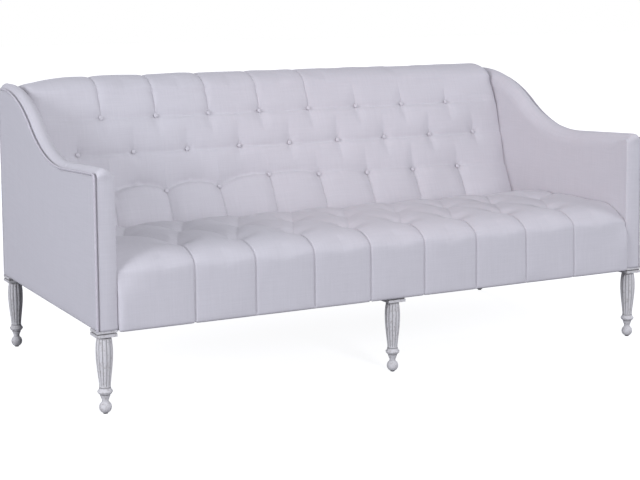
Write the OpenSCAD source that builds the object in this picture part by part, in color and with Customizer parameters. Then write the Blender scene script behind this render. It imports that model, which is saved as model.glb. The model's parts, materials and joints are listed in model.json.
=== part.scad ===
// Upholstered settee with swept arms, a buttoned back, a tufted seat and turned, reeded legs.
// Millimetres. The origin is the centre of the plan, on the floor: +X is to the right as seen
// from the front, +Y towards the back, +Z up. Inside the modules, depth is counted from the
// front plane of the arms, and left and right are as seen from the front.

/* [Overall] */
// Width over the welts of the two arms
overall_w = 1930; // [1600:10:2300]
// Depth from the seat's front face to the outside back
overall_d = 960; // [940:5:1020]
// Height of the back's crest
back_h = 898; // [888:1:930]
// Floor to the underside of the seat frame
leg_h = 241; // [225:1:260]

/* [Arms] */
// Thickness of an arm, from its welt to its inside face
arm_t = 55; // [50:1:70]
// Height of the arm's welt at the front
arm_h = 680; // [650:1:700]
// Drop from the back's crest to the arm's welt at the back
arm_drop = 32; // [26:1:48]
// Depth at which the arm starts to sweep up
sweep_d = 290; // [240:5:320]
// Length of the level stretch at the back of the arm
sweep_level = 41; // [20:1:60]
// Fall of the arm towards the start of the sweep, in degrees
arm_fall = 2.5; // [1:0.5:4]
// Radius of the welt where it turns down the arm's front
arm_corner_r = 12; // [11:1:20]
// Thickness of the padding on the inside of the arm
arm_pad_t = 18; // [14:1:20]
// Thickness of the top padding under the welt line
arm_pad_base = 10; // [8:1:11]
// Crown of the top padding above the welt line
arm_crown = 14; // [8:1:18]
// Crown of the padding on the arm's front
arm_front_crown = 6; // [3:1:10]
// Diameter of the welt
welt_d = 7; // [6:0.5:7]
// Thickness of the outside panels with their fabric
panel_t = 5; // [3:0.5:5]

/* [Seat] */
// Height of the seat's crown
seat_h = 456; // [440:1:470]
// How far the seat's front face stands ahead of the arms
seat_overhang = 12; // [8:1:20]
// How far the front border hangs below the frame
skirt_drop = 7; // [4:1:10]
// Depth of the rounded nose of the seat, and its height
nose_d = 150; // [130:1:160]
nose_h = 86; // [70:1:95]
// Length over which the seat rounds down to the back, and the drop there
seat_fall_run = 275; // [250:5:300]
seat_fall_h = 86; // [70:1:90]
// Depth of the first row of tufts, and distance from the last one to the seat's rear edge
first_row_d = 100; // [90:1:110]
last_row_gap = 139; // [125:1:165]
// Depth of a seat tuft below the crown
seat_pull = 20; // [10:1:26]
// Height of the springs, the foam and the pad, from the seat rails to the crown
seat_build = 120; // [112:1:130]
// Thickness of the firm foam under the tufted pad
seat_foam_t = 30; // [24:1:36]

/* [Back] */
// Distance from the back's fabric plane, at seat height, to the outside back
back_space = 270; // [258:1:278]
// Lean of the back from the vertical, in degrees
rake = 20.4; // [18:0.2:21]
// Height of the lowest row of buttons above the seat's crown
low_row_up = 84; // [74:1:94]
// Drop from the crest to the highest row of buttons
top_row_drop = 131; // [124:1:142]
// Distance from the crest to the outside back, and height over which the back rounds into it
crest_back = 58; // [50:1:66]
crest_h = 58; // [50:1:64]
// Crown of the back pad ahead of its fabric plane
back_crown = 40; // [34:1:44]
// Depth of a button below the crown
back_pull = 26; // [14:1:30]
// Diameter of a covered button
button_d = 20; // [14:1:24]
// Thickness of the foam behind the tufted pad
back_foam_t = 20; // [14:1:24]

/* [Tufts] */
// Tufts in the long row
tuft_n = 9; // [5:1:12]
// Distance from the last tuft of the long row to the arm
tuft_edge = 142; // [120:1:160]

/* [Frame] */
// Thickness of the frame's rails
rail_t = 30; // [26:1:32]
// Depth of an arm's front post and of a back post
front_post_d = 60; // [50:1:70]
back_post_d = 55; // [50:1:70]
// Height of the arm's top rail, square to its curve
arm_rail_h = 60; // [50:1:70]
// Height of the thin rails that the covers are tacked to
tack_rail_h = 40; // [30:1:50]
// Width of the rail that holds the springs at the back of the seat
spring_rail_w = 40; // [34:1:46]
// Height of the back's top rail
top_rail_h = 56; // [44:1:60]
// Width of a back upright
upright_w = 50; // [40:1:60]
// Diameter and length of a dowel
dowel_d = 10; // [8:1:10]
dowel_len = 50; // [40:1:54]

/* [Suspension] */
// Number of seat springs
spring_n = 12; // [6:1:14]
// Wire of a seat spring, and its runs from side to side
wire_d = 3.8; // [3:0.1:4.5]
spring_runs = 19; // [11:2:25]
// Width of a seat spring
spring_w = 48; // [40:1:54]
// Straps up the back, and across it
strap_n = 8; // [4:1:9]
cross_strap_n = 3; // [2:1:4]
// Width and thickness of a strap
strap_w = 50; // [38:1:60]
strap_t = 1; // [0.8:0.1:1.5]

/* [Legs] */
// Side and height of the square block on a leg
block_w = 60; // [56:1:64]
block_h = 19; // [17:1:24]
// Radius of the leg at its widest, at the top and where the reeds end
leg_r = 24.6; // [22:0.1:27]
leg_top_r = 19.4; // [17:0.1:21]
leg_low_r = 15; // [13:0.1:17]
// Height at which the reeds end above the collar
reed_z = 76; // [70:1:80]
// Number of reeds, and the depth between them
reed_n = 12; // [8:1:14]
reed_depth = 2.2; // [1:0.1:3]
// Radius of the collar, of the neck and of the ball foot
collar_r = 22; // [19:0.1:24]
neck_r = 11; // [9:0.1:12]
ball_r = 18.2; // [17.6:0.1:18.6]
// Diameter of the bolt that holds a leg
bolt_d = 8; // [6:0.5:8]
// Thickness and radius of a foot glide
glide_t = 2.5; // [2:0.1:3]
glide_r = 6.5; // [5:0.1:7]

/* [Hidden] */
$fn = 48;

WOOD = "burlywood";
STEEL = "slategray";
LINEN = "lavender";
FOAM = "lemonchiffon";
PAINT = "gainsboro";
// Clearance of curved and soft faces, and of a pin in its hole
gap = 0.3;
pin_gap = 0.1;

// Across the settee
half_w = overall_w / 2;
arm_outer = half_w - welt_d;
arm_inner = half_w - arm_t;
wood_x = arm_inner + arm_pad_t;
wood_t = arm_outer - wood_x;
side_face = arm_outer + panel_t;
pad_half = arm_inner - gap;
wood_mid = (wood_x + arm_outer) / 2;

// Along its depth
front_y = seat_overhang - overall_d / 2;
side_d = overall_d - seat_overhang;
wood_d = arm_pad_base;
rear_wood_d = side_d - panel_t;
back_d = side_d - back_space;
front_post_end = wood_d + front_post_d;
back_post_start = rear_wood_d - back_post_d;
back_rail_d = rear_wood_d - rail_t;

// Up its height
rail_top = seat_h - seat_build;
rail_h = rail_top - leg_h;
skirt_z = leg_h - skirt_drop;
arm_rear_h = back_h - arm_drop;
wood_top = arm_rear_h - arm_pad_base;
clip_t = 1;
wire_z = rail_top + clip_t + pin_gap;
deck_t = 2;
deck_z = wire_z + wire_d + pin_gap + clip_t + gap;
foam_z = deck_z + deck_t;
pad_z = foam_z + seat_foam_t;

// The leaning plane of the back, and the layers behind it, at a height
back_pad_rear = 8;
foam_rear = back_pad_rear + back_foam_t;
frame_lean = foam_rear + 2 * strap_t;
function lean(z, behind = 0) = back_d + (z - seat_h) * tan(rake) + behind;
spring_rail_d = lean(rail_top, frame_lean);
spring_rail_mid = spring_rail_d + spring_rail_w / 2;
top_rail_z = wood_top - top_rail_h;
seat_rear_d = lean(pad_z, back_pad_rear) - 2 * gap;

// The sweep of the arm: a falling line, a hollow arc, a round arc and a level line
sweep_z = arm_h - sweep_d * tan(arm_fall);
sweep_end = side_d - sweep_level;
sweep_tilt = atan((arm_rear_h - sweep_z) / (sweep_end - sweep_d));
sweep_slope = sweep_tilt
    + acos((cos(arm_fall) + 1 - tan(sweep_tilt) * sin(arm_fall)) * cos(sweep_tilt) / 2);
sweep_r = (sweep_end - sweep_d) / (sin(arm_fall) + 2 * sin(sweep_slope));
hollow = [sweep_d + sweep_r * sin(arm_fall), sweep_z + sweep_r * cos(arm_fall)];
round_c = [sweep_end, arm_rear_h - sweep_r];
sweep_mid = sweep_end - sweep_r * sin(sweep_slope);
corner_z = arm_h - arm_corner_r * ((1 + sin(arm_fall)) * tan(arm_fall) + cos(arm_fall));
arc_steps = 12;
function arm_z(d) = d < sweep_d ? arm_h - d * tan(arm_fall)
    : d < sweep_mid ? hollow.y - sqrt(sweep_r ^ 2 - (d - hollow.x) ^ 2)
    : d < sweep_end ? round_c.y + sqrt(sweep_r ^ 2 - (d - round_c.x) ^ 2)
    : arm_rear_h;

// Stations along the arm's edge, each with a depth, a height and its outward direction
sweep_line = concat(
    [for (i = [0:arc_steps]) let (a = -arm_fall + (sweep_slope + arm_fall) * i / arc_steps)
        [hollow.x + sweep_r * sin(a), hollow.y - sweep_r * cos(a), -sin(a), cos(a)]],
    [for (i = [1:arc_steps]) let (a = sweep_slope * (1 - i / arc_steps))
        [round_c.x - sweep_r * sin(a), round_c.y + sweep_r * cos(a), -sin(a), cos(a)]],
    [[side_d, arm_rear_h, 0, 1]]);
corner_line = [for (i = [0:5]) let (a = 180 - (90 + arm_fall) * i / 5)
    [arm_corner_r + arm_corner_r * cos(a), corner_z + arm_corner_r * sin(a), cos(a), sin(a)]];
edge_line = concat([[0, leg_h, -1, 0]], corner_line, sweep_line);
function off(p, n) = [p[0] + n * p[2], p[1] + n * p[3]];

// The tufts: rows 0 and 2 stand half a pitch off row 1, and seams run on beyond them
pitch = (2 * arm_inner - 2 * tuft_edge) / (tuft_n - 1);
tuft_half = (tuft_n - 1) / 2;
u_end = pad_half / pitch;
col_split = 6;
row_split = 3;
last_col = floor((u_end - 0.05) * col_split);
columns = concat([-u_end], [for (i = [-last_col:last_col]) i / col_split], [u_end]);
tuft_spread = 34;
pucker = 0.7;
function row_start(r) = r == 1 ? 0 : 0.5;
function tuft_gap(u, v, r, step) = let (
    s = u + tuft_half - row_start(r),
    k = min(max(round(s), 0), tuft_n - 1 - 2 * row_start(r)))
    norm([(s - k) * pitch, (v - r) * step]);
function lobe(u, v) = let (
    w = min(max(v, 0), 2),
    inside = tuft_half - abs(w - 1) / 2,
    s = u + tuft_half)
    abs(u) < inside
        ? sqrt(abs(sin(180 * (s - (w - 1) / 2)) * sin(180 * (s + (w - 1) / 2))))
        : sin(180 * (abs(u) - inside) / (u_end - inside)) * (1 - 0.5 * exp(-((v - 1) * 4) ^ 2));
function sink(u, v, step) = let (near = min([for (r = [0:2]) tuft_gap(u, v, r, step)]))
    pucker * (1 - lobe(u, v)) + (1 - pucker) * exp(-(near / tuft_spread) ^ 2);

// Rows of the seat pad, front border first: depth, height, outward direction, row, pull
nose_z = seat_h - nose_h;
fall_z = seat_h - seat_fall_h;
nose_run = nose_d + seat_overhang;
seat_fall_d = seat_rear_d - seat_fall_run;
seat_row = (seat_rear_d - last_row_gap - first_row_d) / 2;
function seat_z(d) = d < nose_d ? nose_z + nose_h * sqrt(1 - ((nose_d - d) / nose_run) ^ 2)
    : d < seat_fall_d ? seat_h
    : fall_z + seat_fall_h * sqrt(max(0, 1 - ((d - seat_fall_d) / seat_fall_run) ^ 2));
seat_rear_z = pad_z + 3;
border_pull = 11;
seat_rows = concat(
    [[-seat_overhang, skirt_z, -1, 0, -2, border_pull],
        [-seat_overhang, (skirt_z + nose_z) / 2, -1, 0, -2, border_pull]],
    [for (t = [0:24:48]) [nose_d - nose_run * cos(t), nose_z + nose_h * sin(t), -cos(t), sin(t),
        -1, border_pull + (seat_pull - border_pull) * t / 72]],
    [for (i = [0:2 * row_split]) let (d = first_row_d + seat_row * i / row_split)
        [d, seat_z(d), 0, 1, i / row_split, seat_pull]],
    [for (share = [0.45, 0.8]) let (
        d = first_row_d + 2 * seat_row + share * (seat_rear_d - first_row_d - 2 * seat_row))
        [d, seat_z(d), 0, 1, 3, seat_pull * (1 - share) + border_pull * share]],
    [[seat_rear_d, seat_rear_z, 0, 1, 3, 0]]);
seat_lining = [[seat_rear_d, pad_z], [wood_d, pad_z], [wood_d, skirt_z]];

// Rows of the back pad, from its lower lobes over the crest to the rear edge
low_row_h = seat_h + low_row_up;
back_row = (back_h - top_row_drop - low_row_h) / 2;
crest_d = side_d - crest_back;
crest_z = back_h - crest_h;
crest_run = crest_d - lean(crest_z, -30);
rear_run = side_d - 2 - crest_d;
rear_z = wood_top + 10;
out = [-cos(rake), sin(rake)];
back_low_z = pad_z + 26;
back_rows = concat(
    [for (r = [[0, -26, 0], [18, -48, 10], [48, -52, 20], [88, -46, 24]])
        [lean(back_low_z + r[0], r[1]), back_low_z + r[0], out.x, out.y, -1, r[2]]],
    [for (i = [0:2 * row_split]) let (z = low_row_h + back_row * i / row_split)
        [lean(z, -back_crown), z, out.x, out.y, i / row_split, back_pull]],
    [for (t = [0:30:90]) [crest_d - crest_run * cos(t), crest_z + (back_h - crest_z) * sin(t),
        -cos(t), sin(t), 3, 16 - t / 9]],
    [for (t = [45, 0]) [crest_d + rear_run * cos(t), rear_z + (back_h - rear_z) * sin(t),
        0, 1, 3, 0]]);
back_lining = [[crest_d + rear_run, wood_top + gap],
    for (z = [wood_top + gap, back_low_z - 2]) [lean(z, back_pad_rear) - gap, z]];
end_round = 38;

// Legs: centre of each, and the heights of the turning
leg_in = side_face - block_w / 2;
leg_front_d = block_w / 2;
leg_back_d = side_d - block_w / 2;
centre_leg_d = wood_d + rail_t / 2;
leg_places = [[-leg_in, leg_front_d], [0, centre_leg_d], [leg_in, leg_front_d],
    [-leg_in, leg_back_d], [leg_in, leg_back_d]];
block_z = leg_h - block_h;
ball_z = glide_t + sqrt(ball_r ^ 2 - (glide_r + 1) ^ 2);
bolt_below = 41;
bolt_above = 21;
bolt_z = leg_h - bolt_below;
bolt_top = leg_h + bolt_above;
nut_r = 5;
nut_len = 12;
flange_r = 9.5;
flange_t = 1.5;

// Joints of the frame: dowels as [x, depth, z, direction], for the right-hand side
rail_pin_z = [leg_h + 0.4 * rail_h, leg_h + 0.8 * rail_h];
low_pin_z = [leg_h + 0.2 * rail_h, leg_h + 0.5 * rail_h];
side_dowels = concat(
    [for (z = rail_pin_z) [arm_inner, wood_d + rail_t / 2, z, "x"]],
    [for (z = rail_pin_z) [wood_mid, front_post_end, z, "y"]],
    [for (z = rail_pin_z) [wood_mid, back_post_start, z, "y"]],
    [for (z = rail_pin_z) [arm_inner, back_rail_d + rail_t / 2, z, "x"]],
    [for (z = low_pin_z) [wood_x, spring_rail_mid, z, "x"]],
    [for (d = [wood_d + front_post_d / 4, wood_d + front_post_d * 3 / 4])
        [wood_mid, d, arm_z(d) - arm_pad_base - arm_rail_h, "z"]],
    [for (z = [wood_top - 18, wood_top - 42]) [wood_mid, back_post_start, z, "y"]],
    [[wood_mid, front_post_end, rail_top + 30, "y"], [wood_mid, back_post_start, rail_top + 30, "y"]],
    [for (z = [wood_top - 15, wood_top - 40]) [wood_x, rear_wood_d - rail_t / 2, z, "x"]]);
upright_x = [-(wood_x - rail_t / 2), -wood_x / 2, 0, wood_x / 2, wood_x - rail_t / 2];
upright_pins = [for (x = upright_x) each [
    [x, lean(rail_top, frame_lean + rail_t / 2), rail_top, "z"],
    [x, lean(top_rail_z, frame_lean + rail_t / 2 + 3), top_rail_z, "z"]]];

// Places the settee's depth on the Y axis
module settee() translate([0, front_y, 0]) children();

// One side of the settee: 1 is the right, -1 the left
module side(s) mirror([s < 0 ? 1 : 0, 0, 0]) children();

// A plank between two corners, given as [x, depth, z]
module plank(a, b) translate(a) cube(b - a);

// An outline in depth and height, as a panel from x0 to x1
module panel(x0, x1) translate([x0, 0, 0]) rotate([90, 0, 90]) linear_extrude(x1 - x0) children();

// A closed form through rings of points, with its ends closed from one point of the ring
module loft(rings, hub) {
    k = len(rings[0]);
    n = len(rings);
    sides = [for (i = [0:n - 2], j = [0:k - 1]) let (
        a = i * k + j, b = i * k + (j + 1) % k, c = a + k, d = b + k)
        each [[a, b, d], [a, d, c]]];
    first = [for (j = [1:k - 2]) [hub, (hub + j + 1) % k, (hub + j) % k]];
    last = [for (j = [1:k - 2]) (n - 1) * k * [1, 1, 1] + [hub, (hub + j) % k, (hub + j + 1) % k]];
    polyhedron([for (r = rings) each r], concat(sides, first, last));
}

// A peg or hole of the given radius and length, centred on a place and along a direction
module peg(p, r, length) translate([p[0], p[1], p[2]])
    rotate(p[3] == "x" ? [0, 90, 0] : p[3] == "y" ? [90, 0, 0] : [0, 0, 0])
        cylinder(r = r, h = length, center = true);

module dowel_holes(places) for (p = places) peg(p, dowel_d / 2 + pin_gap, dowel_len + 2);
module side_holes(s) side(s) dowel_holes(side_dowels);
module both_holes() for (s = [-1, 1]) side_holes(s);

// Holes in the frame for a leg's bolt and its nut
module bolt_holes() for (p = leg_places) translate([p.x, p.y, leg_h]) {
    translate([0, 0, -1]) cylinder(r = flange_r + gap, h = flange_t + 1);
    cylinder(r = nut_r + pin_gap, h = flange_t + nut_len);
    cylinder(r = bolt_d / 2 + gap, h = bolt_top - leg_h + 1);
}

// Rails and posts

module front_seat_rail() color(WOOD) settee() difference() {
    plank([-arm_inner, wood_d, leg_h], [arm_inner, wood_d + rail_t, rail_top]);
    both_holes();
    bolt_holes();
    corner_screw_holes();
}

module back_seat_rail() color(WOOD) settee() difference() {
    plank([-arm_inner, back_rail_d, leg_h], [arm_inner, rear_wood_d, rail_top]);
    both_holes();
    corner_screw_holes();
}

module side_seat_rail(s) color(WOOD) settee() difference() {
    side(s) plank([wood_x, front_post_end, leg_h], [arm_outer, back_post_start, rail_top]);
    side_holes(s);
}

module spring_rail() color(WOOD) settee() difference() {
    plank([-wood_x, spring_rail_d, leg_h], [wood_x, spring_rail_d + spring_rail_w, rail_top]);
    both_holes();
    dowel_holes(upright_pins);
}

module seat_stretcher(x) color(WOOD) settee()
    plank([x - rail_t / 2, wood_d + rail_t, leg_h], [x + rail_t / 2, spring_rail_d, leg_h + rail_h / 2]);

module front_post(s) color(WOOD) settee() difference() {
    side(s) union() {
        plank([arm_inner, wood_d, leg_h], [arm_outer, front_post_end, rail_top]);
        panel(wood_x, arm_outer) polygon([[wood_d, rail_top], [front_post_end, rail_top],
            for (d = [front_post_end, wood_d]) [d, arm_z(d) - (arm_pad_base + arm_rail_h) / cos(arm_fall)]]);
    }
    side_holes(s);
    bolt_holes();
}

module back_post(s) color(WOOD) settee() difference() {
    side(s) union() {
        plank([arm_inner, back_post_start, leg_h], [arm_outer, rear_wood_d, rail_top]);
        plank([wood_x, back_post_start, rail_top],
            [arm_outer, rear_wood_d, arm_z(back_post_start) - arm_pad_base]);
    }
    side_holes(s);
    bolt_holes();
}

// The outline under the arm's edge, drawn in from it by n and cut at two depths
module under_edge(n, d0, d1, z0) intersection() {
    polygon(concat([[n, z0]], [for (p = edge_line) if (p[1] > leg_h) off(p, -n)], [[side_d, z0]]));
    translate([d0, z0]) square([d1 - d0, arm_rear_h]);
}

module arm_top_rail(s) color(WOOD) settee() difference() {
    side(s) panel(wood_x, arm_outer) intersection() {
        under_edge(arm_pad_base, wood_d, back_post_start, leg_h);
        polygon(concat([for (p = sweep_line) off(p, -arm_pad_base - arm_rail_h)],
            [[side_d, arm_rear_h + arm_h], [0, arm_rear_h + arm_h],
                [0, arm_h - (arm_pad_base + arm_rail_h) / cos(arm_fall)]]));
    }
    side_holes(s);
}

module arm_tack_rail(s) color(WOOD) settee() difference() {
    side(s) plank([wood_x, front_post_end, rail_top + 10],
        [arm_outer, back_post_start, rail_top + 10 + tack_rail_h]);
    side_holes(s);
}

module back_top_rail() color(WOOD) settee() difference() {
    panel(-wood_x, wood_x) polygon([[lean(top_rail_z, frame_lean), top_rail_z],
        [rear_wood_d, top_rail_z], [rear_wood_d, wood_top], [lean(wood_top, frame_lean), wood_top]]);
    both_holes();
    dowel_holes(upright_pins);
}

// A leaning slab between two heights and two distances behind the back's plane
module leaning(x0, x1, z0, z1, front, rear) panel(x0, x1)
    polygon([[lean(z0, front), z0], [lean(z0, rear), z0], [lean(z1, rear), z1], [lean(z1, front), z1]]);

function upright_half(i) = (abs(i - 2) == 2 ? rail_t : upright_w) / 2;
module back_upright(i) color(WOOD) settee() difference() {
    leaning(upright_x[i] - upright_half(i), upright_x[i] + upright_half(i),
        rail_top, top_rail_z, frame_lean, frame_lean + rail_t);
    dowel_holes(upright_pins);
}

module back_tack_rails() color(WOOD) settee()
    for (i = [0:3]) leaning(upright_x[i] + upright_half(i), upright_x[i + 1] - upright_half(i + 1),
        rail_top + 20, rail_top + 20 + tack_rail_h, frame_lean, frame_lean + rail_t);

// Blocks glued and screwed into the corners of the seat frame
block_leg = 70;
corner_z0 = leg_h + 5;
corner_h = rail_h - 35;
screw_r = 2.5;
screw_len = 40;
screw_z = [corner_z0 + corner_h / 3, corner_z0 + corner_h * 2 / 3];
screw_x = arm_inner - block_leg / 2;
front_block_d = wood_d + rail_t;
module corner_outline(d, post, way) polygon([[arm_inner, d], [arm_inner - block_leg, d],
    [wood_x, post + way * block_leg], [wood_x, post], [arm_inner, post]]);
module corner_screw_holes() for (s = [-1, 1]) side(s) for (z = screw_z)
    for (d = [front_block_d, back_rail_d]) peg([screw_x, d, z, "y"], screw_r + pin_gap, screw_len + 2);

module corner_blocks() color(WOOD) settee() difference() {
    for (s = [-1, 1]) side(s) translate([0, 0, corner_z0]) linear_extrude(corner_h) {
        corner_outline(front_block_d, front_post_end, 1);
        corner_outline(back_rail_d, back_post_start, -1);
    }
    corner_screw_holes();
}

module corner_screws() color(STEEL) settee()
    for (s = [-1, 1]) side(s) for (z = screw_z) for (d = [front_block_d, back_rail_d])
        peg([screw_x, d, z, "y"], screw_r, screw_len);

module frame_dowels() color("tan") settee() {
    for (s = [-1, 1]) side(s) for (p = side_dowels) peg(p, dowel_d / 2, dowel_len);
    for (p = upright_pins) peg(p, dowel_d / 2, dowel_len);
}

// Springs, deck and straps

spring_len = spring_rail_mid - wood_d - rail_t / 2;
run_step = spring_len / (spring_runs - 1);
bend_r = run_step / 2;
straight = spring_w - 2 * bend_r;
spring_pitch = 2 * pad_half / spring_n;
spring_x = [for (i = [0:spring_n - 1]) (i + 0.5) * spring_pitch - pad_half];

// Half a ring of wire that joins two runs, open to the left or to the right
module spring_bend(way) intersection() {
    difference() {
        circle(r = bend_r + wire_d / 2);
        circle(r = bend_r - wire_d / 2);
    }
    translate([way > 0 ? 0 : -spring_w, -spring_w / 2]) square(spring_w);
}

// A flat spring: runs from side to side joined by bends, on the frame's front and spring rails
module seat_spring() linear_extrude(wire_d) {
    for (i = [0:spring_runs - 1]) translate([-straight / 2, i * run_step - wire_d / 2])
        square([straight, wire_d]);
    for (i = [0:spring_runs - 2]) let (way = i % 2 == 0 ? 1 : -1)
        translate([way * straight / 2, (i + 0.5) * run_step]) spring_bend(way);
}

module seat_springs() color(STEEL) settee()
    for (x = spring_x) translate([x, wood_d + rail_t / 2, wire_z]) seat_spring();

// A clip that closes over the end run of a spring
clip_w = 16;
clip_foot = 20;
clip_in = wire_d + 2 * pin_gap;
clip_out = clip_in + 2 * clip_t;
module spring_clip() difference() {
    union() {
        translate([-clip_w / 2, -clip_foot / 2, 0]) cube([clip_w, clip_foot, clip_t]);
        translate([-clip_w / 2, -clip_out / 2, 0]) cube([clip_w, clip_out, clip_out]);
    }
    translate([-clip_w, -clip_in / 2, clip_t]) cube([2 * clip_w, clip_in, clip_in]);
}

module spring_clips() color(STEEL) settee()
    for (x = spring_x) for (d = [wood_d + rail_t / 2, spring_rail_mid])
        translate([x, d, rail_top]) spring_clip();

module seat_deck() color("peru") settee()
    plank([-pad_half, wood_d, deck_z], [pad_half, lean(deck_z, back_pad_rear) - gap, foam_z]);

module seat_foam() color(FOAM) settee()
    plank([-pad_half, wood_d, foam_z], [pad_half, lean(foam_z, back_pad_rear) - gap, pad_z]);

strap_low = rail_top + 12;
strap_pitch = 2 * pad_half / strap_n;
module back_straps() color("black") settee()
    for (i = [0:strap_n - 1]) let (x = (i + 0.5) * strap_pitch - pad_half)
        leaning(x - strap_w / 2, x + strap_w / 2, strap_low, wood_top, foam_rear, foam_rear + strap_t);

module back_cross_straps() color("dimgray") settee()
    for (i = [1:cross_strap_n]) let (
        z = strap_low + (top_rail_z - strap_low) * i / (cross_strap_n + 1))
        leaning(-pad_half, pad_half, z - strap_w / 2, z + strap_w / 2, foam_rear + strap_t, frame_lean);

module back_foam() color(FOAM) settee()
    leaning(-pad_half, pad_half, strap_low, wood_top, back_pad_rear, foam_rear);

// Padding and covers

module seat_pad() color(LINEN) settee() loft(hub = len(seat_rows) + 1, rings = [
    for (u = columns) concat(
        [for (r = seat_rows) let (fall = r[5] * sink(u, r[4], seat_row))
            [u * pitch, r[0] - fall * r[2], r[1] - fall * r[3]]],
        [for (p = seat_lining) [u * pitch, p.x, p.y]])]);

// Rounds the top corners of the back, where it ends beside the arms
function shoulder(u, z) = let (
    w = max(0, (abs(u) * pitch - pad_half + end_round) / end_round),
    base = wood_top + 2 * gap)
    z < base ? z : base + (z - base) * (0.1 + 0.9 * sqrt(1 - (0.98 * w) ^ 2));

module back_pad() color(LINEN) settee() loft(hub = len(back_rows) + 1, rings = [
    for (u = columns) concat(
        [for (r = back_rows) let (fall = r[5] * sink(u, r[4], back_row))
            [u * pitch, r[0] - fall * r[2], shoulder(u, r[1] - fall * r[3])]],
        [for (p = back_lining) [u * pitch, p.x, p.y]])]);

// A covered button: a shank down to the pad, and a domed head
shank_r = 1;
shank_len = 6;
head_t = 3;
head_edge = 1.5;
module button() {
    translate([0, 0, 2 * gap]) cylinder(r = shank_r, h = shank_len);
    translate([0, 0, shank_len]) rotate_extrude() polygon(concat([[0, 0], [button_d / 2 - head_edge, 0]],
        [for (t = [0:18:90]) [button_d / 2 * cos(t), head_edge + head_t * sin(t)]]));
}

module back_buttons() color(LINEN) settee()
    for (r = [0:2]) for (k = [0:tuft_n - 1 - 2 * row_start(r)]) let (z = low_row_h + r * back_row)
        translate([(k + row_start(r) - tuft_half) * pitch,
            lean(z, -back_crown) - back_pull * out.x, z - back_pull * out.y])
            rotate([90 - rake, 0, 0]) button();

module arm_inside_pad(s) color(LINEN) settee() side(s)
    panel(arm_inner, wood_x) intersection() {
        under_edge(arm_pad_base + gap, wood_d + gap, side_d, rail_top);
        polygon([[0, rail_top], [lean(rail_top, back_pad_rear), rail_top],
            [lean(arm_rear_h, back_pad_rear), arm_rear_h], [0, arm_rear_h]]);
    }

// Section of the top padding, from the welt over the crown to the inside face
pad_w = arm_outer - arm_inner;
edge_round = 24;
top_section = concat([[arm_outer, -1], [arm_outer, 0]],
    [for (t = [30:30:90]) [arm_outer - 18 * (1 - cos(t)), sin(t)]],
    [for (t = [90:-18:0]) [arm_inner + edge_round * (1 - cos(t)), t > 0 ? sin(t) : -0.3]],
    [[arm_inner, -1]]);
module arm_top_pad(s) color(LINEN) settee() side(s) loft(hub = 0, rings = [
    for (p = edge_line) let (crown = arm_front_crown + (arm_crown - arm_front_crown) * max(0, p[3]))
        [for (q = top_section) let (at = off(p, q.y > 0 ? q.y * crown : q.y * arm_pad_base))
            [q.x, at.x, at.y]]]);

module arm_welt(s) color("thistle") settee() side(s) loft(hub = 0, rings = [
    for (p = edge_line) [for (b = [0:45:315]) let (at = off(p, welt_d / 2 * sin(b)))
        [half_w - welt_d / 2 * (1 - cos(b)), at.x, at.y]]]);

module outside_arm(s) color(LINEN) settee() side(s) panel(arm_outer, side_face)
    under_edge(welt_d / 2 + gap, 0, rear_wood_d, leg_h);

module outside_back() color(LINEN) settee()
    plank([-side_face, rear_wood_d, leg_h], [side_face, side_d, wood_top - gap]);

cover_t = 1.5;
module dust_cover() color("black") settee() difference() {
    plank([-arm_outer, wood_d + 2, leg_h - cover_t], [arm_outer, rear_wood_d - 2, leg_h]);
    for (p = leg_places) translate([p.x, p.y, leg_h - cover_t / 2])
        cube([block_w + 2 * gap, block_w + 2 * gap, 2 * cover_t], center = true);
}

// Legs and their fittings

// Radius of the reeded vase, for a share of its height
widest = 0.72;
function vase_r(t) = t < widest ? leg_low_r + (leg_r - leg_low_r) * sin(90 * t / widest) ^ 1.4
    : leg_r - (leg_r - leg_top_r) * ((t - widest) / (1 - widest)) ^ 2.2;

// The turning from the foot up, as height, radius and depth between the reeds
collar_z = reed_z - 13;
collar_low = collar_z - 8;
flat_open = asin((glide_r + 1) / ball_r);
neck_open = asin(1.2 * neck_r / ball_r);
foot_line = concat(
    [for (i = [0:5]) let (a = 180 - flat_open + (neck_open - 180 + flat_open) * i / 5)
        [ball_z + ball_r * cos(a), ball_r * sin(a), 0]],
    [[ball_z + ball_r, neck_r, 0], [collar_low - 3, leg_low_r - 0.5, 0],
        [collar_low - 1, leg_low_r - 1.5, 0], [collar_low, leg_low_r + 0.5, 0],
        [collar_z, collar_r, 0], [reed_z - 3, leg_low_r + 1.5, 0]]);
vase_line = [for (i = [0:8]) let (t = i / 8) [reed_z + t * (block_z - 1.5 - reed_z), vase_r(t), reed_depth]];
leg_line = concat(foot_line, vase_line, [[block_z + 1, leg_top_r - 2, 0]]);
reed_steps = 3;
reed_angles = [for (j = [reed_n * reed_steps - 1:-1:0]) 360 * j / (reed_n * reed_steps)];
module turned_leg() loft(hub = 0, rings = [for (p = leg_line) [for (a = reed_angles)
    let (r = p[1] - p[2] * (1 - abs(sin(reed_n / 2 * a)) ^ 0.6)) [r * cos(a), r * sin(a), p[0]]]]);

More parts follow.
